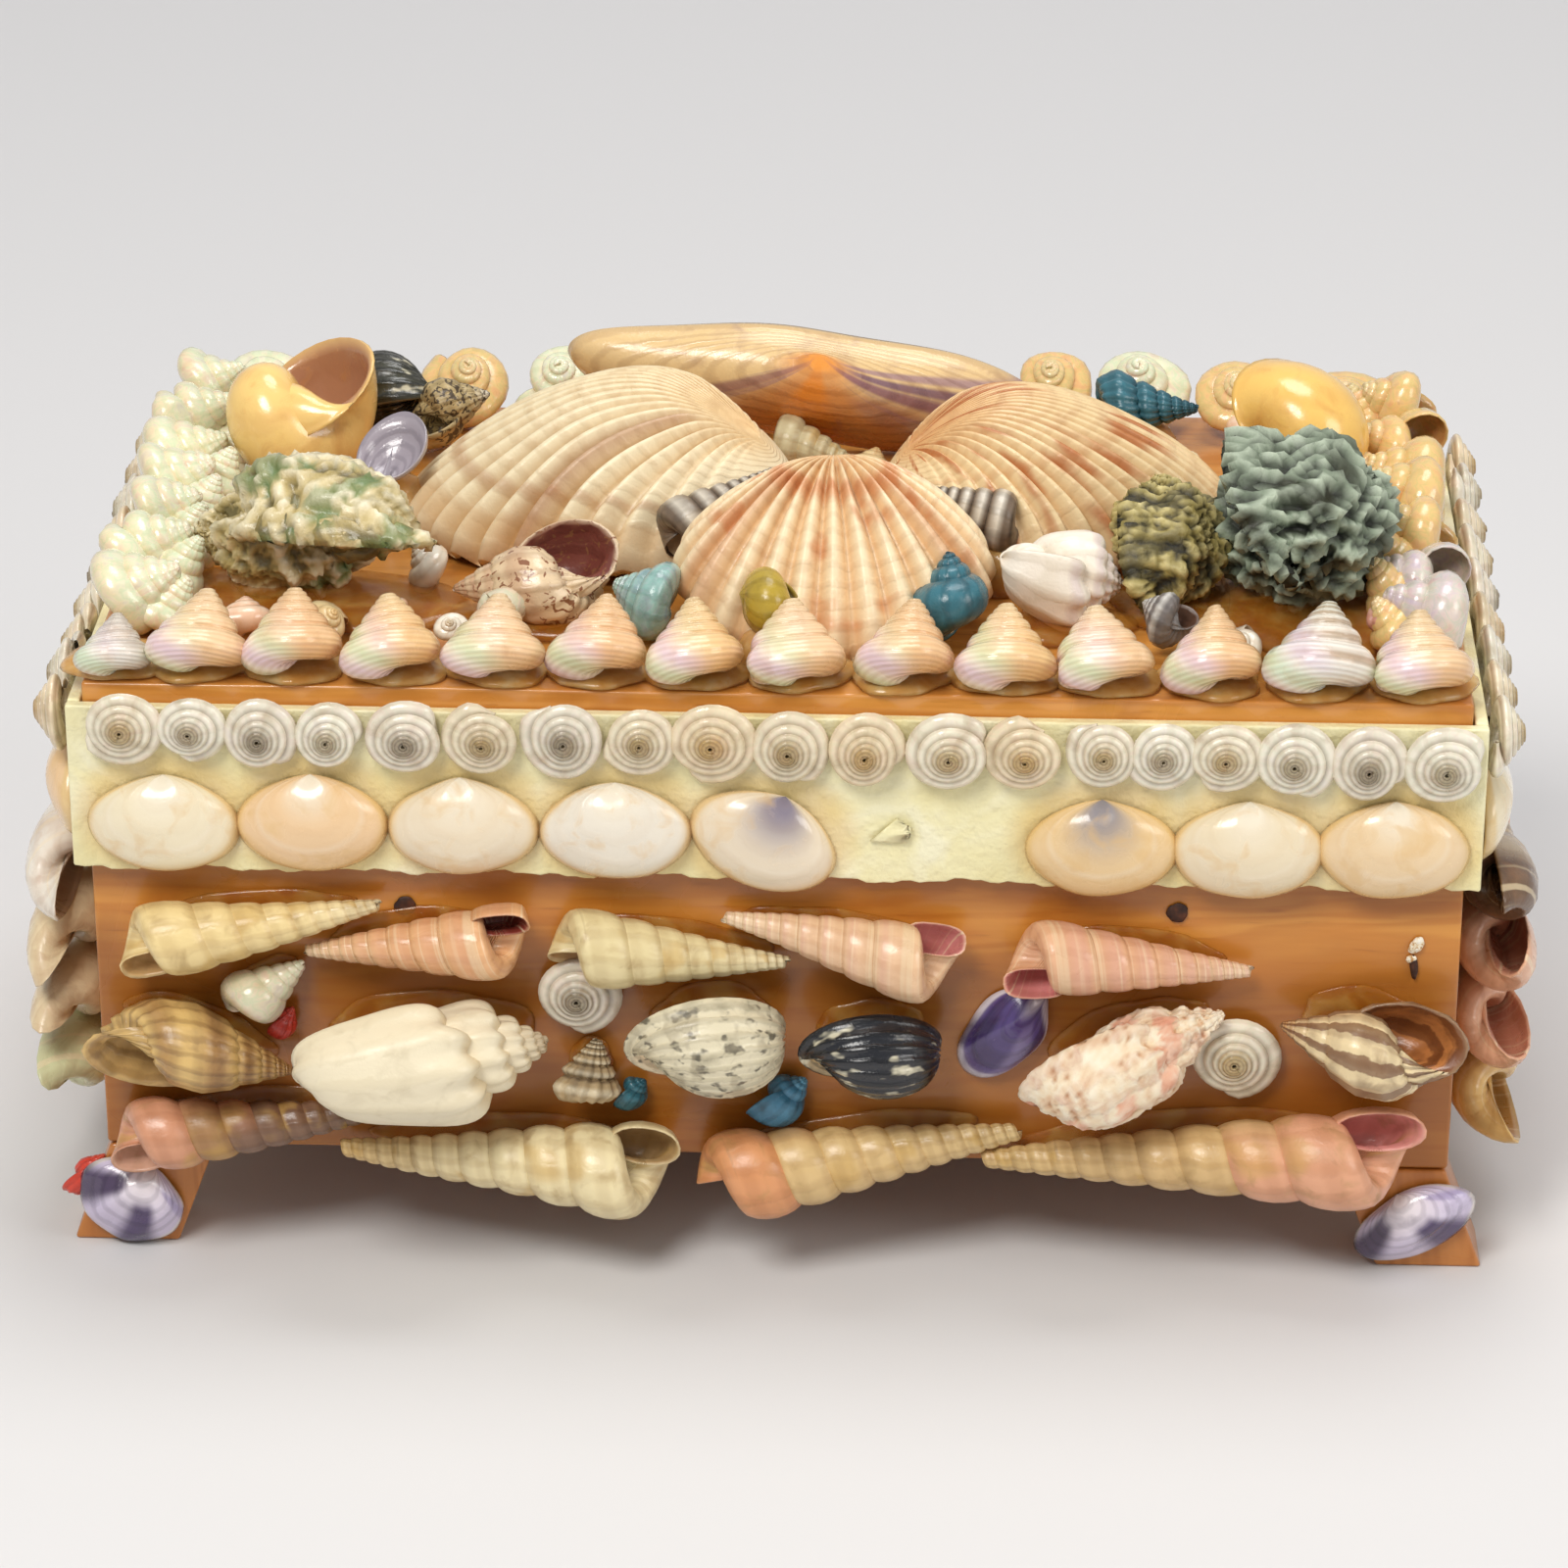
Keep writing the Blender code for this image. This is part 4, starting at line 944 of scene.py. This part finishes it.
purpleLook = valveColours("53427a", "e6dde4", spread=3.0,
                          rays=((0.3, 0.12, 0.3, "8d7fa6", 0.6), (-0.35, 0.1, 0.5, "33264c", 0.8),
                                (0.75, 0.1, 0.2, "d9cfdc", 0.8)),
                          rings=((0.99, 0.07, "ece4e8", 0.9), (0.75, 0.08, "3a2a52", 0.7)))
footLook = valveColours("d3c8e0", "f0e8ea", spread=1.3, rings=((1.0, 0.05, "f0e8dc", 0.9),),
                        rays=((0.15, 0.14, 0.3, "43305c", 0.95), (-0.45, 0.16, 0.25, "3d2a4c", 0.95),
                              (0.6, 0.05, 0.3, "9486b4", 0.6)))
clamPieces = [
    ("purple_clam", "front", (31.0, 20.6), 16.0, 9.6, 52, 3.0, purpleLook),
    ("foot_clam_left", "legs", (-86.8, 7.2), 12.4, 15.2, 60, 3.6, footLook),
    ("foot_clam_right", "legs", (85.6, 7.6), 9.8, 17.4, 120, 3.4, footLook),
]
for node, face, middle, length, width, angle, height, look in clamPieces:
    shell = warped(smallClam(face, middle, length, width, angle, look, height, 24, 64), 0.5, 6, 5)
    dressed(node, shell, purpleShell, "_shell")
print("stage: front shells")

# Rows of pearl top shells, buttons and clams along the front

pearlRow = {
    "across": (-85.8, -75.0, -62.6, -49.4, -36.4, -23.3, -10.1, 3.0, 16.3, 29.5, 42.8, 56.2, 69.8, 83.4),
    "width": 13.2, "narrow": 9.8, "height": 0.90,
}
pearlRowShell = shellFinish("pearlRowShell", 0.2, 0.4, "c08f58", 0.25, 8, 0.06, cords=22, depth=0.00014)
pearlLooks = [
    colours("f0c890", "f0d4a2", "d9a878", (-0.16, 0.08, "e2a868", 0.6), (0.22, 0.03, "cc9e64", 0.6)),
    colours("f2cea2", "f2d8ac", "d9a878", (-0.16, 0.08, "e4ae74", 0.6), (0.22, 0.03, "cc9e6c", 0.6)),
    colours("eec494", "eccb9c", "d9a878", (-0.16, 0.08, "e0a464", 0.6), (0.22, 0.03, "c9985c", 0.6)),
]
frilledLook = colours("efe9dc", "dfe0cc", "d9c9b0", (-0.02, 0.03, "9c7a52", 0.7),
                      (0.16, 0.03, "a8865c", 0.6))
silverLook = colours("e3dcd0", "e9e2d2", "b9a890", (0.05, 0.05, "b5a797", 0.6))


def nacreSheenLeft(surface, middle, width, seed):
    # Mother-of-pearl colours painted as a sheen on the left half and low down, where the light catches the
    # nacre: its share falls to nothing a fifth of the width right of the middle, and its colour swings from
    # mint over white to lilac with the sine of the height.
    x, _, z = (surface["points"] - middle).T
    share = 0.7 * smooth((0.22 * width - x) / (0.36 * width)) * smooth((0.78 * width - z) / (0.3 * width))
    swing = np.sin(z * (0.7 + 0.1 * (seed % 4)) + 0.35 * x + seed)
    low, mid, high = (shade(code) for code in ("d4eac4", "faf6ea", "ead6ec"))
    colour = mid + (low - mid) * smooth(swing)[:, None] + (high - mid) * smooth(-swing)[:, None]
    surface["tint"] = surface["tint"] + (colour - surface["tint"]) * share[:, None]
    return surface


pearls = []
for number, across in enumerate(pearlRow["across"]):
    look = pearlLooks[number % 3]
    look = silverLook if number == 0 else frilledLook if number == 12 else look
    width = pearlRow["narrow"] if number == 0 else pearlRow["width"] * (1.1 if number == 12 else 1.0)
    facing = 345 + 20 * math.sin(number * 2.1)
    shell = coil(width * pearlRow["height"], width, look, facing=facing, **topForm)
    shell = warped(shell, 0.35, 9, number + 40)
    shell = setDown("lid", shell, (across, -50.4, 0.0), (across + 1.2 * math.sin(number * 1.7), -43.4, 9.0))
    pearls.append(nacreSheenLeft(shell, (across, -50.4, faces["lid"][0][2]), width, number))
dressed("pearl_row_front", pearls, pearlRowShell)
pearlSpots = [((across, -49.6), (across, -38.0), 14.5) for across in pearlRow["across"]]
glueUnder("pearl_glue", "lid", pearlSpots, amberGlue, 1.15, 1.4)

buttonRow = {
    "across": (-84.1, -75.2, -66.3, -57.4, -47.9, -38.0, -27.4, -17.2, -7.6, 2.3, 12.2, 22.2, 32.0, 42.2,
               50.0, 58.6, 67.4, 76.9, 86.2),
    "width": (10.4, 9.4, 9.6, 9.0, 9.8, 9.8, 10.8, 9.6, 11.4, 10.2, 10.2, 10.6, 10.2, 9.2, 9.8, 9.8, 10.6,
              10.2, 10.4),
}
buttons = []
for number, (across, width) in enumerate(zip(buttonRow["across"], buttonRow["width"])):
    look = buttonLooks[(number * 2 + number // 3) % 5]
    place = (across, 20.6 - 0.011 * (across + 84))
    buttons.append(topDisc("skirtFront", place, width, look, 4.4, 50.0 * number))
dressed("button_row_front", buttons, buttonShell)

clamShell = shellFinish("clamShell", 0.24, 0.3, "e0b878", 0.45, 4, 0.05, depth=0.00008)
clamRow = [
    dict(base="f0e3c4"), dict(base="eecb9e"), dict(base="ecdcc0"), dict(base="ece3d2"),
    dict(base="ecdcc2", angle=66, umbo="80788c"),
    dict(base="ebcb98", umbo="8c8a94"), dict(base="ecdcbc"), dict(base="ecd0a6"),
]
clams = []
for number, (part, middle) in enumerate(zip(clamRow, clamPlaces["skirt_front"])):
    umbo = part.get("umbo")
    look = valveColours(part["base"], umbo or "f3ead6", spread=1.5 if umbo else 2.2,
                        rings=((0.99, 0.08, "e3bf7c", 0.7), (0.7, 0.02, "f3e9d6", 0.25)))
    shell = smallClam("skirtFront", middle, 14.0, 20.0, part.get("angle", 90), look, 3.8, 16, 56, skew=0.15)
    clams.append(warped(shell, 0.25, 9, number + 70))
dressed("clam_row_front", clams, clamShell)
chip = smallClam("skirtFront", (15.6, 7.0), 6.0, 4.6, 20, clamLook, 0.35, 6, 3)
meshPiece("clam_chip", chip, cardFinish, "cream_shell")
print("stage: front rows")

# The ribbed valves in the middle of the lid and the wedge clam behind them

cockleCream = shellFinish("creamCockleShell", 0.42, 0.1, "b98c50", 0.25, 14, 0.12, depth=0.0002,
                          streaks=(("8f5428", 26.0, 2.6, 0.72, 0.8),))
cockleTawny = shellFinish("tawnyCockleShell", 0.40, 0.1, "b9804a", 0.25, 14, 0.12, depth=0.0002,
                          streaks=(("b4642a", 22.0, 2.4, 0.54, 0.85),))
cockleRosy = shellFinish("rosyCockleShell", 0.42, 0.1, "b9804a", 0.25, 14, 0.12, depth=0.0002,
                         streaks=(("c9804c", 9.0, 5.0, 0.56, 0.6),))
lidValves = [
    dict(node="cockle_left", size=(50.0, 40.0, 18.0), beak=(-3.0, -1.6, 3.0), far=(-50.8, 7.2, 0.5),
         ribs=34, finish=cockleCream,
         look=valveColours("efe0bc", "e6c795", spread=1.6, groove=("c89a58", 0.75),
                           rings=((0.84, 0.015, "a0602e", 0.45), (0.95, 0.03, "dcb684", 0.5)),
                           rays=((-0.42, 0.05, 0.55, "8a4a24", 0.75), (0.4, 0.03, 0.2, "a05c30", 0.6)))),
    dict(node="cockle_right", size=(46.0, 38.0, 16.4), beak=(15.4, -1.4, 3.0), far=(59.2, 8.6, 0.5),
         ribs=46, finish=cockleTawny,
         look=valveColours("ecd2a2", "dfae74", spread=1.8, groove=("b98448", 0.7),
                           rings=((0.62, 0.02, "c98a52", 0.3),), rays=((0.3, 0.06, 0.12, "c27a45", 0.5),))),
    dict(node="cockle_front", size=(31.0, 42.0, 11.0), beak=(6.4, -12.0, 11.6), far=(7.2, -40.0, 0.4),
         ribs=24, finish=cockleRosy,
         look=valveColours("f2ddb6", "ecc896", spread=2.0, groove=("d6a468", 0.6),
                           rings=((0.36, 0.05, "cf8450", 0.7),),
                           rays=((0.36, 0.05, 0.3, "c67c48", 0.5), (-0.36, 0.05, 0.3, "c67c48", 0.5)))),
]
for number, part in enumerate(lidValves):
    form = dict(ribs=part["ribs"], ribDepth=0.10, rows=44, columns=part["ribs"] * 8, point=0.12)
    shell = valve(*part["size"], part["look"], **form)
    shell = setDown("lid", warped(shell, 0.5, 22, number + 90), part["beak"], part["far"])
    dressed(part["node"], shell, part["finish"], "_shell")

wedgeShell = shellFinish("wedgeClamShell", 0.26, 0.3, "8a5a4a", 0.3, 9, 0.2, depth=0.00015,
                         streaks=(("6a4a78", 14.0, 1.2, 0.60, 0.35),))
wedgeLook = valveColours("e2c28c", "e8922e", spread=4.0,
                         rays=((0.0, 0.26, 0.05, "c98244", 0.9), (-0.33, 0.05, 0.0, "84505c", 0.7),
                               (0.25, 0.08, 0.2, "9a6a5c", 0.7), (0.42, 0.06, 0.0, "7d5068", 0.85),
                               (0.55, 0.05, 0.05, "6d4c6c", 0.85), (0.68, 0.04, 0.05, "8f6c84", 0.7),
                               (-0.02, 0.08, 0.0, "e0862c", 0.8)))
wedge = valve(18.0, 71.0, 7.0, wedgeLook, rows=40, columns=160, overhang=0.05, skew=0.5, fullness=0.5)
wedge = setDown("lid", warped(wedge, 0.8, 30, 99), (3.4, 31.0, 17.6), (1.4, 35.0, 1.4))
dressed("wedge_clam", wedge, wedgeShell, "_shell")
print("stage: lid valves")

# Large snails on the lid

moonShell = shellFinish("moonSnailShell", 0.22, 0.45, "c98a3c", 0.35, 7, 0.12, depth=0.0001)
crustFinish = shellFinish("crustedShell", 0.6, 0.05, "2e332a", 0.35, 10, 0.1, depth=0.0006)
oysterShell = shellFinish("oysterShell", 0.42, 0.3, "6f6a3c", 0.4, 8, 0.1, depth=0.0006)
openWhelkShell = shellFinish("openWhelkShell", 0.35, 0.25, "7a5138", 0.4, 12, 0.2,
                             flecks=("8a5a3c", 700, 0.60), depth=0.0002)
roughForm = dict(turns=4.0, growth=1.9, tall=1.25, offset=0.6, overlap=0.55, shoulder=0.3, ribs=7,
                 ribDepth=0.10, rough=0.02, steps=90, sides=90)
crusts = {
    "murex": dict(amount=2.8, size=8.0,
                  stops=((0.0, "16180f"), (0.38, "3c4234"), (0.62, "7d8a74"), (1.0, "c6d2ba")),
                  patches=("2c2c18", 12.0, 0.7), grain=6),
    "turban": dict(amount=1.3, size=7.0,
                   stops=((0.0, "1f1c10"), (0.35, "544a26"), (0.6, "a09050"), (1.0, "e0d090")),
                   patches=("2a2614", 8.0, 0.8), grain=4),
    "oyster": dict(amount=1.8, size=11.0,
                   stops=((0.0, "6e6238"), (0.25, "b9a468"), (0.55, "d9c796"), (1.0, "f0e6c8")),
                   patches=("6d8450", 12.0, 0.9), grain=5),
}
lidSnails = [
    dict(node="moon_snail_left", base=(-58.6, 13.0), tip=(-77.0, 22.6), width=19.6, form=moonForm,
         finish=moonShell, facing=156,
         look=colours("f6cf80", "f2d89c", "b07c5c", (0.24, 0.03, "cf9a4e", 0.5))),
    dict(node="moon_snail_right", base=(61.6, 17.0), tip=(80.0, 25.6), width=17.0, form=moonForm,
         finish=moonShell, facing=60,
         look=colours("f2c66c", "f0d496", "c98f44", (0.24, 0.03, "cf9a4e", 0.5))),
    dict(node="dark_nerite", base=(-51.6, 34.2), tip=(-65.4, 37.4), width=12.4, form=neriteForm,
         finish=blackShell, facing=20, look=colours("3a3a2e", "5a563e", "d8caa0")),
    dict(node="oyster", base=(-44.6, -27.0), tip=(-79.6, -19.0), width=20.0, form=roughForm,
         finish=oysterShell, facing=20, drop=0.1, look=colours("cfc7a2", "a9a680", "6a6a4c")),
    dict(node="murex", base=(68.8, -36.0), tip=(69.4, -3.0), width=23.8, form=roughForm, finish=crustFinish,
         facing=60, drop=-0.1, look=colours("5f6c5c", "6f7a68", "3d4640")),
    dict(node="turban", base=(51.8, -27.6), tip=(51.2, -7.0), width=15.4, form=roughForm,
         finish=crustFinish, facing=60, drop=-0.9, look=colours("857a4a", "6a6a44", "3d3a24")),
    dict(node="white_conch", base=(28.8, -29.0), tip=(45.0, -26.0), width=13.0, form=conchForm,
         finish=conchShell, facing=150,
         look=colours("f2e8d8", "e2d0ba", "e9d2b8", (0.1, 0.03, "b79aa4", 0.4))),
    dict(node="open_whelk", base=(-20.8, -30.4), tip=(-43.6, -27.0), width=13.0, form=whelkForm,
         finish=openWhelkShell, facing=128,
         look=colours("e2c9a4", "b58e6c", "7d4238", (0.0, 0.05, "b98a68", 0.5))),
]
for number, part in enumerate(lidSnails):
    shell = lyingSnail("lid", part, 60 + number, 0.5)
    if part["node"] in crusts:
        shell = crusted(shell, seed=number, **crusts[part["node"]])
    dressed(part["node"], shell, part["finish"], "_shell")
glueUnder("lid_glue", "lid", [(part["base"], part["tip"], part["width"]) for part in lidSnails], more=1.2,
          height=2.0)
print("stage: lid snails")

# Smaller shells that fill the gaps, on the lid where no other face is named. They have no solid.

bandedShell = shellFinish("bandedTurretShell", 0.4, 0.15, "2e2722", 0.3, 8, 0.2, cords=4, depth=0.0002)
tealShell = shellFinish("tealShell", 0.3, 0.25, "123c44", 0.5, 12, 0.25, cords=5, depth=0.0002)
blueShell = shellFinish("bluePearlShell", 0.22, 0.35, "2d5560", 0.4, 12, 0.2, cords=6, depth=0.0002,
                        pearl=0.4)
goldShell = shellFinish("goldShell", 0.3, 0.3, "6e5a12", 0.4, 12, 0.2, depth=0.0002)
checkShell = shellFinish("checkeredShell", 0.4, 0.1, "4a3a28", 0.3, 14, 0.2, cords=6, depth=0.0003,
                         flecks=("4a3c28", 900, 0.53))
coralShell = shellFinish("coralShell", 0.35, 0.2, "7a1510", 0.3, 10, 0.2, depth=0.0004)
slimForm = dict(turns=9.0, growth=1.26, tall=1.2, offset=1.1, overlap=0.78, square=0.8, steps=20, sides=16,
                lip=1.0)
roundForm = dict(turns=4.0, growth=1.8, tall=1.0, offset=0.7, overlap=0.6, slant=14.0, steps=26, sides=20)
bandedLook = colours("7a6856", "4c423a", "5a4838", (0.02, 0.04, "e6ddcc", 0.85),
                     (-0.2, 0.04, "3f362f", 0.8), (0.2, 0.04, "463c34", 0.8))
tealLook = colours("3a7280", "2b5c6a", "1c4654", (0.2, 0.04, "1b4a58", 0.7))
fillers = [
    dict(name="banded_left", base=(-16.6, -19.0), tip=(-1.4, -13.4), heights=(7.6, 16.4), width=8.4,
         form=slimForm, look=bandedLook, finish=bandedShell, facing=300),
    dict(name="banded_right", base=(31.5, -15.0), tip=(17.5, -10.5), heights=(9.0, 12.5), width=8.0,
         form=slimForm, look=bandedLook, finish=bandedShell, facing=300),
    dict(name="checkered_snail", base=(-56.4, 28.6), tip=(-43.6, 31.2), heights=(5.0, 8.4), width=9.6,
         form=whelkForm, finish=checkShell, facing=200, look=colours("b8a272", "ece2cc", "8a7448")),
    dict(name="blue_snail", base=(-13.6, -34.0), tip=(-22.0, -30.4), heights=(4.4, 7.0), width=10.6,
         form=topForm, finish=blueShell, facing=300,
         look=colours("9fc0be", "c9dcd4", "3f6468", (0.2, 0.04, "4a6e74", 0.6))),
    dict(name="gold_snail", base=(3.2, -39.6), tip=(-5.0, -40.0), heights=(7.4, 8.2), width=9.2,
         form=moonForm, finish=goldShell, facing=290, look=colours("b39833", "c4ab4c", "5a4a16")),
    dict(name="teal_snail", base=(22.6, -37.0), tip=(21.4, -32.6), heights=(1.6, 12.4), width=10.8,
         form=roundForm, finish=tealShell, facing=20, look=tealLook),
    dict(name="striped_snail", base=(53.6, -37.0), tip=(47.6, -33.0), heights=(3.6, 6.0), width=7.6,
         form=whelkForm, finish=bandedShell, facing=180,
         look=colours("7d7672", "c9c4bc", "6a4a38", (0.0, 0.04, "e3dfd6", 0.7))),
    dict(name="salmon_snail", base=(78.6, -34.4), tip=(83.6, -27.6), heights=(2.6, 7.6), width=5.8,
         form=beadedForm, finish=coralShell, facing=60,
         look=colours("c98f7a", "c07f6c", "8d4f40", (0.0, 0.04, "e6c4b0", 0.6))),
    dict(name="teal_ribbed", base=(41.6, 33.4), tip=(56.4, 31.6), heights=(8.0, 8.4), width=9.0,
         form=beadedForm, finish=tealShell, facing=60, look=tealLook),
    dict(name="olive_cone", base=(-3.6, 24.9), tip=(9.6, 20.1), heights=(6.0, 3.0), width=6.6,
         form=slimForm, finish=creamTurret, facing=60, look=colours("c9bd96", "b5a878", "8a7c54")),
    dict(name="pearl_filler", base=(-34.0, -36.6), tip=(-38.6, -30.4), heights=(3.0, 5.4), width=6.8,
         form=roundForm, finish=pearlShell, facing=60, look=colours("ddd0b8", "e9e0cc", "a48c6a")),
    dict(name="blue_bit", face="front", base=(-2.4, 6.8), tip=(4.6, 12.6), heights=(1.8, 2.4), width=6.4,
         form=roundForm, finish=tealShell, facing=60, look=colours("4f8fb0", "6aa6c0", "24566e")),
    dict(name="teal_bit", face="front", base=(-20.6, 8.0), tip=(-17.0, 12.0), heights=(1.4, 2.0), width=4.4,
         form=roundForm, finish=tealShell, facing=60, look=tealLook),
    dict(name="red_bit", face="front", base=(-66.4, 17.4), tip=(-63.6, 21.8), heights=(1.2, 2.0), width=3.6,
         form=roundForm, finish=coralShell, facing=60, look=colours("c0392b", "d9503c", "7a1510")),
    dict(name="red_coral", face="legs", base=(-95.6, 6.6), tip=(-90.4, 12.8), heights=(-1.6, -0.4),
         width=4.2, form=whelkForm, finish=coralShell, facing=60,
         look=colours("d9422c", "e05a3c", "8a1c12")),
]
for number, part in enumerate(fillers):
    start, end = (*part["base"], part["heights"][0]), (*part["tip"], part["heights"][1])
    shell = coil(math.dist(start, end), part["width"], part["look"], facing=part["facing"], **part["form"])
    shell = warped(shell, 0.3, part["width"] * 1.5, 200 + number)
    shell = setDown(part.get("face", "lid"), shell, start, end, None)
    meshPiece(part["name"], shell, part["finish"], "brown_shell")

cupLook = valveColours("8d8088", "b3a8ae", inside="a39aa2", rings=((0.95, 0.06, "d9d0cc", 0.7),))
cup = warped(valve(11.0, 9.4, 3.4, cupLook, rows=16, columns=48, rim=0.35), 0.4, 7, 5)
cup["points"][:, 2] = 3.6 - cup["points"][:, 2]
cup = setDown("lid", cup, (-55.6, 0.6, 6.6), (-51.0, 9.6, 13.6), None)
meshPiece("small_grey_clam", cup, purpleShell, "purple_shell")
blobs = [gluePad("lid", (-54.2, 3.2), 10.0, 8.0, 60, 7.6, 77),
         gluePad("lid", (47.0, 33.2), 14.0, 8.0, 0, 5.8, 78),
         gluePad("lid", (-1.0, -39.8), 9.0, 6.4, 0, 4.4, 79),
         gluePad("lid", (29.0, -14.6), 12.0, 6.4, 0, 6.2, 80)]
meshPiece("glue_blobs", blobs, amberGlue, "yellow_shell")

# Small round shells in the gaps between the large ones: across, up and width, with looks in turn.
gapLooks = [
    colours("ead3a0", "dcb97c", "b98a5c", (0.2, 0.04, "b88a4c", 0.5)),
    colours("e9c0a0", "d9a284", "b9705c", (0.05, 0.04, "f0dcc4", 0.6)),
    colours("ece4d2", "c9b594", "b9a080", (0.0, 0.04, "a88a60", 0.4)),
]
gaps = [
    (-71, -3, 8.0), (-64, 5, 7.0), (-73, 6, 7.4), (-40, 27, 7.6), (-30, 24, 6.8), (-14, 24, 6.6),
    (19, 25, 7.2), (29, 26, 7.6), (37, 23, 6.6), (56, 20, 7.0), (64, 6, 7.8), (70, 12, 6.8),
    (71, 34, 7.4), (62, 38, 6.4), (-33, 36, 6.6), (-22, 41, 6.2), (31, 40, 6.4), (-46, -19, 6.6),
    (-61, -34, 6.8), (-70, -36, 6.2), (62, -37, 6.4), (70, -39, 5.8), (-50, -35, 5.6), (-43, -37, 5.2),
    (9, 22, 5.6), (-78, -5, 6.2),
]
gapForm = dict(roundForm, steps=18, sides=14)
gapShells = []
for number, (across, up, width) in enumerate(gaps):
    way = 2.4 * number
    end = (across + math.cos(way), up + math.sin(way), 1.2)
    shell = coil(width * 0.95, width, gapLooks[number % 3], facing=60.0 * number, **gapForm)
    gapShells.append(setDown("lid", warped(shell, 0.25, 8, number + 300), (across, up, 0.0), end))
meshPiece("gap_shells", gapShells, moonShell, "cream_shell")
print("stage: fillers")

# Rows along the ends and the back of the lid

sideForm = dict(turns=4.0, growth=1.7, tall=1.0, offset=0.8, overlap=0.66, slant=16.0, steps=20, sides=16,
                lip=1.0)
mintLook = colours("f0e2be", "f2e8cc", "d9c094", (0.08, 0.08, "e0ecd2", 0.5))
amberLook = colours("ecc686", "ead2a2", "b98a50", (0.2, 0.04, "c9954e", 0.5))
nacreLook = colours("e2d6cc", "d9cdbf", "b9a89a", (0.05, 0.06, "cbb6c4", 0.5))
for node, way in (("pearl_row_left", -1), ("pearl_row_right", 1)):
    shells = []
    for i in range(7):
        up = -33.0 + 12.0 * i
        look = mintLook if way < 0 else nacreLook if i < 2 else amberLook
        shell = coil(11.8, 12.0, look, facing=90.0 * i, **(topForm if way < 0 else sideForm))
        shells.append(setDown("lid", warped(shell, 0.4, 9, i + 7), (way * 90.0, up, 0.0),
                              (way * 81.0, up + 0.6, 4.2)))
    dressed(node, shells, pearlShell)
    inner = []
    for i in range(8):
        up = -34.0 + 10.4 * i
        look = mintLook if way < 0 else amberLook
        shell = coil(9.4, 8.8, look, facing=70.0 * i, **topForm)
        start = (way * (83.4 - 0.25 * i), up, 0.0)
        inner.append(setDown("lid", warped(shell, 0.4, 9, i + 27), start, (way * 78.0, up + 1.4, 7.6)))
    meshPiece(node + "_inner_shells", inner, pearlShell, slotOf[node])
shells = []
for i in range(12):
    across = -77.0 + 14.0 * i
    shell = coil(9.4, 13.4, amberLook if i % 3 else mintLook, facing=70.0 * i, **sideForm)
    shells.append(setDown("lid", warped(shell, 0.4, 9, i + 17), (across, 47.0, 0.0), (across, 44.0, 5.0)))
dressed("pearl_row_back", shells, pearlShell)
print("stage: lid rows")

# Shells on the other three sides of the skirt and of the box

clamLooks = [dict(clamLook, base=code) for code in ("f0e3c4", "eecb9e", "ece3d2")]
for node, face in (("skirt_shells_left", "skirtLeft"), ("skirt_shells_right", "skirtRight")):
    shells = []
    for i in range(9):
        shells.append(topDisc(face, (-45.5 + 11.4 * i, 19.4), 10.6, buttonLooks[i % 5], 5.0, 40.0 * i))
    dressed(node, shells, buttonShell)
    shells = []
    for i, place in enumerate(clamPlaces["skirt_left"]):
        clam = smallClam(face, place, 14.2, 19.8, 90, clamLooks[i % 3], 3.8)
        shells.append(warped(clam, 0.25, 9, i))
    meshPiece(node + "_clams", shells, clamShell, slotOf[node])
shells = []
for i, place in enumerate(clamPlaces["skirt_back"]):
    clam = smallClam("skirtBack", place, 15.8, 19.8, 90, clamLooks[i % 3], 19.8 * 0.17)
    shells.append(warped(clam, 0.3, 9, i + 5))
dressed("skirt_shells_back", shells, clamShell)

longForm = dict(turns=6.0, growth=1.45, tall=1.4, offset=0.8, overlap=0.62, slant=6.0, steps=20, sides=16,
                lip=1.0)
peachLook = colours("e8b795", "e9cfae", "c98a70", (0.2, 0.04, "c08c64", 0.5))
creamLook = colours("e9d5ae", "dcc79c", "c9a47c", (0.2, 0.04, "b8925a", 0.5))
whiteLook = colours("ece4d6", "e2d9c9", "c9b8a0", (0.2, 0.04, "b8a88a", 0.5))
greenLook = colours("d9dcae", "cfd6ac", "a8a478", (0.2, 0.04, "98965c", 0.5))
darkLook = colours("6e5642", "4a382a", "3a2618", (0.03, 0.05, "c9b594", 0.7))
goldenLook = colours("e0bc78", "d9b878", "a8783c", (0.2, 0.04, "b88a48", 0.5))
endLooks = {"body_shells_left": (whiteLook, creamLook, creamLook, greenLook),
            "body_shells_right": (darkLook, peachLook, peachLook, goldenLook)}
for node, face, front in (("body_shells_left", "left", 1), ("body_shells_right", "right", -1)):
    shells = []
    nearest = endLooks[node]
    for row, up in enumerate((36.0, 26.0, 16.0, 6.0)):
        pair = (((front * 49, up), (-front, up)), ((front, up), (-front * 49, up)))
        for i, (base, tip) in enumerate(pair):
            look = nearest[row] if i == 0 else creamLook if row in (0, 3) else peachLook
            facing = 50.0 * (row + i)
            shells.append(lyingCoil(face, base, tip, 10.6, look, longForm, facing, row * 2 + i, 0.15))
    dressed(node, shells, pinkTurret)
shells = []
for row, up in enumerate((31.6, 13.0)):
    for i in range(4):
        base, tip = (-88 + 44 * i, up), (-41.5 + 44 * i, up)
        look = creamLook if (row + i) % 2 else peachLook
        shells.append(lyingCoil("back", base, tip, 19.2, look, longForm, 60.0 * i, row * 4 + i, 0.15, 0.4))
dressed("body_shells_back", shells, creamTurret)
print("stage: sides and back")

bpy.context.view_layer.update()
